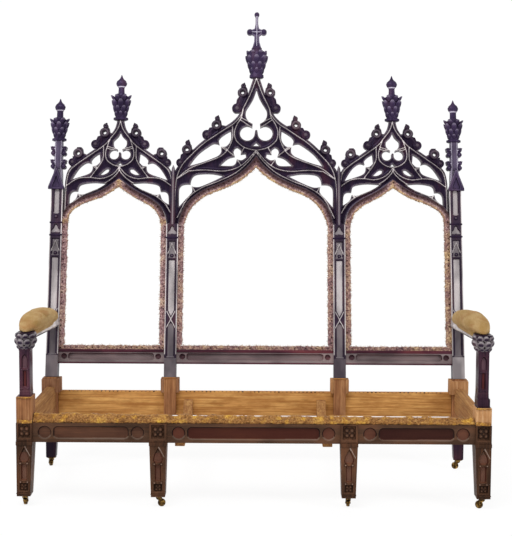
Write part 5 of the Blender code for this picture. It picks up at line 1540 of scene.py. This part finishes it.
# Section of a pad's skirt: across and up from the arm's top, and how far it swells each way along the middle
SKIRT_SECTION = [(0.0226, -0.0215, 0, 0), (0.0250, -0.0220, 0, 0), (0.0262, -0.010, 0.012, 0),
                 (0.0265, 0.0, 0.019, 0.008), (0.0265, 0.001, 0.012, 0.014), (0.0226, 0.0004, 0, 0)]
FIBRE_LENGTH = 0.0085
FIBRE_RADIUS = 0.0007
COVER_TACK = 0.0026
RAIL_TACK = 0.0030
TACK_INSET = 0.008
# Section of the torn seat edge: depth, height and how far the roughness moves each
SEAT_SECTION = [(TACK_RAIL_FRONT - GAP, FACING_TOP + GAP, 0, 0), (0.0090, FACING_TOP + 0.0008, 0, 0),
                (0.0070, 0.336, 0, 0), (0.0085, 0.339, 0, 0), (0.0120, 0.343, 0, 0.3),
                (0.0190, 0.3455, 0, 0.4), (0.0255, 0.3500, 0, 0.8), (0.0340, 0.3520, 0, 1),
                (0.0440, 0.3505, 1, 1), (0.0440, TACK_RAIL_TOP + 0.003, 1, 0),
                (TACK_RAIL_FRONT, TACK_RAIL_TOP + 0.003, 0, 0)]
# Runs of the back rail that still hold tacks, between the stiles
TACKED = ((-0.82, -0.42), (-0.315, 0.315), (0.42, 0.82))


def pad_rest(y):
    """Height of the arm under a pad: level over the capital, then falling to the back."""
    return CAPITAL_TOP + GAP - max(0.0, y - ARM_FRONT) * ARM_DROP / (arm_end(ARM_REAR) - ARM_FRONT)


def pad_form(x):
    """Slack form of an arm pad: a blunt nose in front, fullest behind its middle, flat underneath."""
    profile = smooth(PAD_SECTION, 3)
    profile += [(-u, v) for u, v in reversed(profile[1:-1])]
    rings = []
    for i in range(33):
        t = 0.002 + 0.996 * (1 - math.cos(math.pi * i / 32)) / 2
        end = abs(2 * t - 1)
        power, root = PAD_NOSE if t < 0.5 else PAD_TAIL
        swell = (1 - end ** power) ** (1 / root)
        y = PAD_FRONT + PAD_SLACK + (PAD_LENGTH - 2 * PAD_SLACK) * t
        wide = (PAD_WIDTH / 2 - PAD_SLACK) * swell * (1 + 0.10 * t)
        middle = x - math.copysign(PAD_TURN * t, x)
        tall = (PAD_HEIGHT - PAD_SLACK) * swell * (0.90 + 0.10 * min(1.0, t / 0.45))
        rings.append([(middle + u * wide, y, pad_rest(y) + 0.0004 + v * tall) for u, v in profile])
    return loft(rings)


def pad_skirts(x):
    """Cover drawn down from a pad over both flanks of its arm, ending above the moulded edge."""
    skirts = []
    for s in (-1, 1):
        rings = []
        for i in range(25):
            t = i / 24
            y = ARM_FRONT + 0.004 + (PAD_FRONT + PAD_LENGTH - 0.012 - ARM_FRONT) * t
            rest = pad_rest(y)
            out = (1 - abs(2 * t - 1) ** 4.0) ** 0.4
            rings.append([(x + s * (u + a * out), y, rest + v + b * out) for u, v, a, b in SKIRT_SECTION])
        skirts.append(evaluated(loft(rings), "SUBSURF", levels=1, render_levels=1))
    return skirts


def plumped(mesh):
    """The mesh after it has been blown up as cloth, no point moving further than the pad's swell."""
    slack = evaluated(mesh, "REMESH", mode="VOXEL", voxel_size=PAD_VOXEL)
    scene = bpy.context.scene
    holder = put("plumping", slack)
    cloth = holder.modifiers.new("Cloth", "CLOTH")
    cloth.settings.use_pressure = True
    cloth.settings.uniform_pressure_force = PAD_PRESSURE
    cloth.settings.effector_weights.gravity = 0
    cloth.point_cache.frame_start, cloth.point_cache.frame_end = 1, PAD_FRAMES
    for moment in range(1, PAD_FRAMES + 1):
        scene.frame_set(moment)
    full = settled(holder)
    scene.frame_set(1)
    for start, vert in zip(slack.vertices, full.vertices):
        move = vert.co - start.co
        vert.co = start.co + move * min(1.0, PAD_SWELL / max(move.length, 1e-9))
    return full


def arm_pads():
    """Velvet pads on the arms, plumped as cloth and rubbed into shallow dents."""
    for label, side in SIDES:
        full = plumped(pad_form(side * (OUT_X - PAD_INSET)))
        for vert in full.vertices:
            dent = noise.noise(vert.co * 14) * 0.0022 + noise.noise(vert.co * 45) * 0.0006
            vert.co.z = max(vert.co.z + dent, pad_rest(vert.co.y) + GAP)
        full = evaluated(full, "SUBSURF", levels=1, render_levels=1)
        pad = piece("velvet_arm_pad_" + label, [full] + pad_skirts(side * OUT_X), VELVET,
                    ["arm_pad_" + label], place=UPRIGHT, sharp=180)


def lumpy(ring_of, places, amount):
    """Ragged body of torn stuffing: rings along a line, each point pushed about."""
    rings = []
    for place in places:
        ring = []
        for j, (x, y, z) in enumerate(ring_of(place)):
            push = Vector((noise.noise((x * 70, j * 2.3, 0.4)), noise.noise((x * 85, j * 1.9, 5.2)),
                           noise.noise((x * 110, j * 3.1, 9.7))))
            ring.append((x, y + amount * push.y * (1 if j else 0.3), z + amount * (push.z + 0.5 * push.x)))
        rings.append(ring)
    return loft(rings)


def strewn(name, runs, material, spacing, spread, seed, head=0.0):
    """Fibres, or heads of tacks of a radius, set along runs of (place, lean) points by Geometry Nodes."""
    line = bpy.data.meshes.new(name)
    points = [point for run in runs for point in run]
    starts = np.cumsum([0] + [len(run) for run in runs])
    edges = [(i, i + 1) for first, last in zip(starts, starts[1:]) for i in range(first, last - 1)]
    line.from_pydata([place for place, _ in points], edges, [])
    leans = line.attributes.new("lean", "FLOAT_VECTOR", "POINT")
    leans.data.foreach_set("vector", np.array([lean for _, lean in points], np.float32).ravel())
    tree = bpy.data.node_groups.new(name, "GeometryNodeTree")
    values = {"Spacing": spacing, "Length": FIBRE_LENGTH, "Radius": head or FIBRE_RADIUS, "Spread": spread,
              "Seed": seed}
    tree.interface.new_socket("Geometry", in_out="INPUT", socket_type="NodeSocketGeometry")
    names = {title: tree.interface.new_socket(title, in_out="INPUT",
                                              socket_type="NodeSocketInt" if title == "Seed"
                                              else "NodeSocketFloat").identifier for title in values}
    tree.interface.new_socket("Geometry", in_out="OUTPUT", socket_type="NodeSocketGeometry")
    given = tree.nodes.new("NodeGroupInput").outputs
    curve = add(tree, "GeometryNodeMeshToCurve", {"Mesh": given["Geometry"]})
    curve = add(tree, "GeometryNodeResampleCurve", {"Curve": curve, "Length": given["Spacing"]},
                mode="LENGTH")
    lean = add(tree, "GeometryNodeInputNamedAttribute", {"Name": "lean"}, data_type="FLOAT_VECTOR")
    stray = add(tree, "FunctionNodeRandomValue", {0: (-1, -1, -1), 1: (1, 1, 1), "Seed": given["Seed"]},
                data_type="FLOAT_VECTOR")
    stray = add(tree, "ShaderNodeVectorMath", {0: stray, "Scale": given["Spread"]}, operation="SCALE")
    lean = add(tree, "ShaderNodeVectorMath", {0: lean, 1: stray}, operation="ADD")
    turn = add(tree, "FunctionNodeAlignRotationToVector", {"Vector": lean}, axis="Z")
    size = add(tree, "FunctionNodeRandomValue", {2: 0.5, 3: 1.3, "Seed": given["Seed"]}, out=1,
               data_type="FLOAT")
    if head:
        shape = add(tree, "GeometryNodeMeshUVSphere", {"Segments": 8, "Rings": 4, "Radius": given["Radius"]})
    else:
        shape = add(tree, "GeometryNodeMeshCone",
                    {"Vertices": 4, "Radius Bottom": given["Radius"], "Depth": given["Length"]})
    placed = add(tree, "GeometryNodeInstanceOnPoints",
                 {"Points": curve, "Instance": shape, "Rotation": turn, "Scale": size})
    placed = add(tree, "GeometryNodeRealizeInstances", {"Geometry": placed})
    placed = add(tree, "GeometryNodeSetMaterial", {"Geometry": placed, "Material": material})
    feed(tree, tree.nodes.new("NodeGroupOutput"), {"Geometry": placed})
    holder = put(name, line)
    setter = holder.modifiers.new(name, "NODES")
    setter.node_group = tree
    for title, value in values.items():
        setter[names[title]] = value
    return settled(holder)


def torn_edges(strips):
    """Fibres and tacks of the torn covers of the back."""
    for number, (label, (opening, kept)) in enumerate(strips):
        fray = [((u, STRIP_SETBACK + 0.003, w), (a, -0.25, b))
                for (u, w), (a, b) in zip(kept, inward_of(kept))]
        fibres = strewn("fray_" + label, [fray], FRAY, 0.0030, 0.9, 11 + number)
        piece("torn_fray_" + label, [fibres], FRAY, place=RAKED)
        row = [((u + TACK_INSET * a, STRIP_SETBACK - 0.003, w + TACK_INSET * b), (0, -1, 0))
               for (u, w), (a, b) in zip(opening, inward_of(opening))]
        tacks = strewn("tacks_" + label, [row], IRON, 0.024, 0.15, 21 + number, COVER_TACK)
        piece("cover_tacks_" + label, [tacks], IRON, place=RAKED)


def remnant(left, right, face, low, tall):
    """Strip of torn cover left across a face."""
    def ring(x):
        ragged = 0.3 * tall * noise.noise((x * 60, 4.1, low))
        return [(x, face + 0.0006, low), (x, face - 0.0026, low + 0.0006),
                (x, face - 0.0034, low + 0.55 * tall), (x, face - 0.0020, low + 0.95 * tall + ragged),
                (x, face + 0.0006, low + tall + ragged)]
    made = lumpy(ring, np.linspace(left, right, 40), 0.0014)
    marked_by(made, "free", lambda co: max(0.0, min(1.0, 0.25 + 1.9 * noise.noise(co * 45))))
    return made


def seat_edge():
    """Torn stuffing and straw along the front of the seat, and what is left of the cover at its corners."""
    reach = CORNER_FACE - 0.002

    def seat_ring(x):
        rough = 0.006 * noise.noise((x * 28, 2.2, 8.1)) + 0.0035 * (1 - x / reach)
        return [(x, y + out * rough, z + up * rough) for y, z, out, up in SEAT_SECTION]
    edge = lumpy(seat_ring, np.linspace(-reach, reach, 640), 0.0026)
    marked_by(edge, "free", lambda co: max(0.0, min(1.0, -0.08 + 1.9 * noise.noise(co * 45))))
    sites = [(-reach + 2 * reach * i / 400, 0.0075 + 0.004 * noise.noise((i * 0.37, 1, 1)))
             for i in range(401)]
    runs = [[((x, y, 0.3410 + 0.003 * noise.noise((x * 40, 3, 3))), (0, -0.5, 0.6)) for x, y in sites],
            [((x, y + 0.008, 0.3450), (0, -0.2, 0.7)) for x, y in sites]]
    tufts = strewn("seat_straw", runs, FRAY, 0.0070, 1.0, 5)
    corners, half = [], STILE_WIDTH / 2
    for side in (-1, 1):
        left, right = sorted((side * CORNER_FACE, side * (OUT_X + CORNER_LEG_WIDTH / 2 - 0.004)))
        block_top = CORNER_BLOCK_TOP if side < 0 else RIGHT_BLOCK_TOP
        corners += [remnant(left, right, 0.0, FACING_TOP, 0.013),
                    remnant(left, right, 0.0, block_top - 0.005, 0.0045),
                    remnant(side * MID_X - half, side * MID_X + half, BACK_Y, KINK_Z - 0.006, 0.0055)]
    piece("torn_seat_edge", [edge] + corners, [STRAW, RAW_RAIL], place=UPRIGHT,
          paint=lambda centre, normal: 1 if centre.y > 0.0205 + 0.006 * noise.noise(centre * 60) else 0)
    piece("torn_seat_straw", [tufts], FRAY, place=UPRIGHT)


def rail_tacks():
    """Tacks left along the back rail."""
    row = [((x, BACK_RAIL_FRONT + 0.003, SEAT_RAIL_TOP + 0.0005), (0, -0.3, 1))
           for x in np.linspace(-STILE_FACE + 0.02, STILE_FACE - 0.02, 60)]
    kept_rows = [[point for point in row if low < point[0][0] < high] for low, high in TACKED]
    tacks = strewn("rail_tacks", kept_rows, IRON, 0.017, 0.4, 31, RAIL_TACK)
    piece("back_rail_tacks", [tacks], IRON, place=UPRIGHT)


# Casters
CASTER_SPOTS = ("front_left", "front_inner_left", "front_inner_right", "front_right", "rear_left",
                "rear_right")
AXLE_TRAIL = 0.012
AXLE_Z = 0.015
HORN_ARRIS = 0.0006
YOKE_ARRIS = 0.001
CHEEK_SIDES = (0.0067, 0.0095)
# Turned profiles are of radius and height, and the cheek is drawn from its side
PLATE_PROFILE = [(0, 0.0397), (0.0190, 0.0397), (0.0210, 0.0410), (0.0210, 0.0437), (0, 0.0437)]
CROWN_PROFILE = [(0, 0.0330), (0.0100, 0.0330), (0.0110, 0.0350), (0.0105, 0.0380), (0.0080, 0.0394),
                 (0, 0.0394)]
YOKE_BOX = (-0.0085, -0.0095, 0.0318), (0.0105, 0.0095, 0.0352)
CHEEK = [(-0.0085, 0.0345), (-0.0080, 0.0310), (0.0040, 0.0240),
         *arc(AXLE_TRAIL, AXLE_Z, 0.0052, 160, 380, 14), (0.0150, 0.0260), (0.0105, 0.0345)]
PIN_PROFILE = [(0, 0.0094), (0.0034, 0.0094), (0.0030, 0.0104), (0, 0.0107)]
TREAD = [(0, -0.0064), (0.0052, -0.0064), (0.0060, -0.0050), (0.0118, -0.0046), (0.0136, -0.0060),
         (0.0147, -0.0045), (0.0150, -0.0020)]


def casters():
    """Cast brass casters: a round plate under each foot, a swivelling horn and a wheel."""
    disc = turned(PLATE_PROFILE, 28)
    crown = turned(CROWN_PROFILE, 24)
    yoke = bevelled(box(*YOKE_BOX), YOKE_ARRIS)
    cheeks = [bevelled(loft([[(x, s * y, z) for x, z in CHEEK] for y in CHEEK_SIDES]), HORN_ARRIS)
              for s in (-1, 1)]
    aside = Matrix.Translation((AXLE_TRAIL, 0, AXLE_Z)) @ Matrix.Rotation(math.pi / 2, 4, "X")
    pins = [moved(turned([(r, s * h) for r, h in PIN_PROFILE], 14), aside) for s in (-1, 1)]
    wheel = moved(turned(TREAD + [(r, -h) for r, h in reversed(TREAD)], 32), aside)
    for spot in CASTER_SPOTS:
        pivot, axle = [(low + high) / 2
                       for low, high in (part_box("caster_plate_" + spot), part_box("caster_wheel_" + spot))]
        heading = math.atan2(axle.y - pivot.y, axle.x - pivot.x)
        stand = Matrix.Translation((pivot.x, pivot.y, 0)) @ Matrix.Rotation(heading, 4, "Z")
        for kind, meshes, body in (("plate", [disc], "frame"),
                                   ("horn", [crown, yoke] + cheeks + pins, "horn_" + spot),
                                   ("wheel", [wheel], "wheel_" + spot)):
            piece(f"brass_caster_{kind}_{spot}", meshes, BRASS, [f"caster_{kind}_{spot}"], body,
                  stand)


# Floor, light and camera
FLOOR_REACH = 30.0
WHITE = (1, 1, 1, 1)
WHITE_LEVEL = 1.02
# Lamps: name, place, the point it looks at, size and watts
LAMPS = (("softbox over the front", (-1.2, -3.0, 5.2), (0, 0, 0.8), (3.0, 1.8), 190),
         ("strip on the right", (3.4, -2.0, 2.0), (0, 0, 1.0), (0.7, 2.4), 42),
         ("strip on the left", (-3.6, -1.0, 1.8), (0, 0, 1.0), (0.7, 2.4), 32),
         ("softbox behind", (0.8, 3.4, 3.2), (0, 0, 1.0), (2.4, 1.4), 45))
CAMERA_PLACE = (0.0320, -4.468, 1.3584)
CAMERA_DOWN = math.radians(4.349)
CAMERA_ASIDE = math.radians(0.371)
CAMERA_ROLL = math.radians(0.254)


def seen_white(tree):
    """1 for rays that show the white background, straight, mirrored or through glass, and 0 for light."""
    ways = [add(tree, "ShaderNodeLightPath", out=kind)
            for kind in ("Is Camera Ray", "Is Glossy Ray", "Is Transmission Ray")]
    seen = add(tree, "ShaderNodeMath", {0: ways[0], 1: ways[1]}, operation="MAXIMUM")
    return add(tree, "ShaderNodeMath", {0: seen, 1: ways[2]}, operation="MAXIMUM")


def paper_floor():
    """White paper, lit from below as well, as a product table is, so that only contact shadows are left."""
    floor_mesh = bpy.data.meshes.new("floor")
    floor_mesh.from_pydata([(x, y, 0) for x, y in square(0, 0, FLOOR_REACH, FLOOR_REACH)], [], [(0, 1, 2, 3)])
    floor = put("floor", floor_mesh)
    white, tree, shader = start_material("studio floor, matt white paper")
    feed(tree, shader, {"Base Color": linear("f4f4f4"), "Roughness": 1.0, "Specular IOR Level": 0.0})
    seen = seen_white(tree)
    place = add(tree, "ShaderNodeTexCoord", out="Object")
    away = add(tree, "ShaderNodeVectorMath", {0: place}, out="Value", operation="LENGTH")
    share = add(tree, "ShaderNodeMapRange",
                {"Value": away, "From Min": 0.8, "From Max": 2.6, "To Min": 0.88, "To Max": 1.0})
    share = add(tree, "ShaderNodeMath", {0: seen, 1: share}, operation="MULTIPLY")
    glow = add(tree, "ShaderNodeEmission", {"Color": WHITE, "Strength": WHITE_LEVEL})
    mixed = add(tree, "ShaderNodeMixShader", {0: share, 1: shader.outputs[0], 2: glow})
    feed(tree, tree.nodes["Material Output"], {"Surface": mixed})
    floor_mesh.materials.append(white)


def studio_light():
    """White surroundings, and soft lights around the settee."""
    world = bpy.data.worlds.new("studio")
    bpy.context.scene.world = world
    world.use_nodes = True
    tree = world.node_tree
    level = add(tree, "ShaderNodeMapRange",
                {"Value": seen_white(tree), "To Min": 0.40, "To Max": WHITE_LEVEL})
    feed(tree, tree.nodes["Background"], {"Color": WHITE, "Strength": level})
    for name, place, aim, size, power in LAMPS:
        lamp = bpy.data.lights.new(name, "AREA")
        lamp.shape = "RECTANGLE"
        lamp.size, lamp.size_y = size
        lamp.energy = power
        holder = put(name, lamp)
        holder.location = place
        holder.rotation_euler = (Vector(aim) - Vector(place)).to_track_quat("-Z", "Y").to_euler()


def photo_camera():
    """Camera of the photo."""
    lens = bpy.data.cameras.new("camera")
    lens.sensor_fit = "VERTICAL"
    lens.sensor_height = 36.0
    lens.lens = 71.82
    lens.shift_y = -0.06
    camera = put("camera", lens)
    camera.location = CAMERA_PLACE
    level_turn = Euler((math.pi / 2 - CAMERA_DOWN, 0, CAMERA_ASIDE)).to_matrix()
    camera.rotation_euler = (level_turn @ Matrix.Rotation(CAMERA_ROLL, 3, "Z")).to_euler()
    bpy.context.scene.camera = camera


bpy.context.scene.view_settings.view_transform = "Standard"
paper_floor()
studio_light()
photo_camera()
strips = bays()
front_legs()
front_rails()
lower_rails()
stiles()
finials()
arms()
seat_frame()
arm_pads()
torn_edges(strips)
seat_edge()
rail_tacks()
casters()
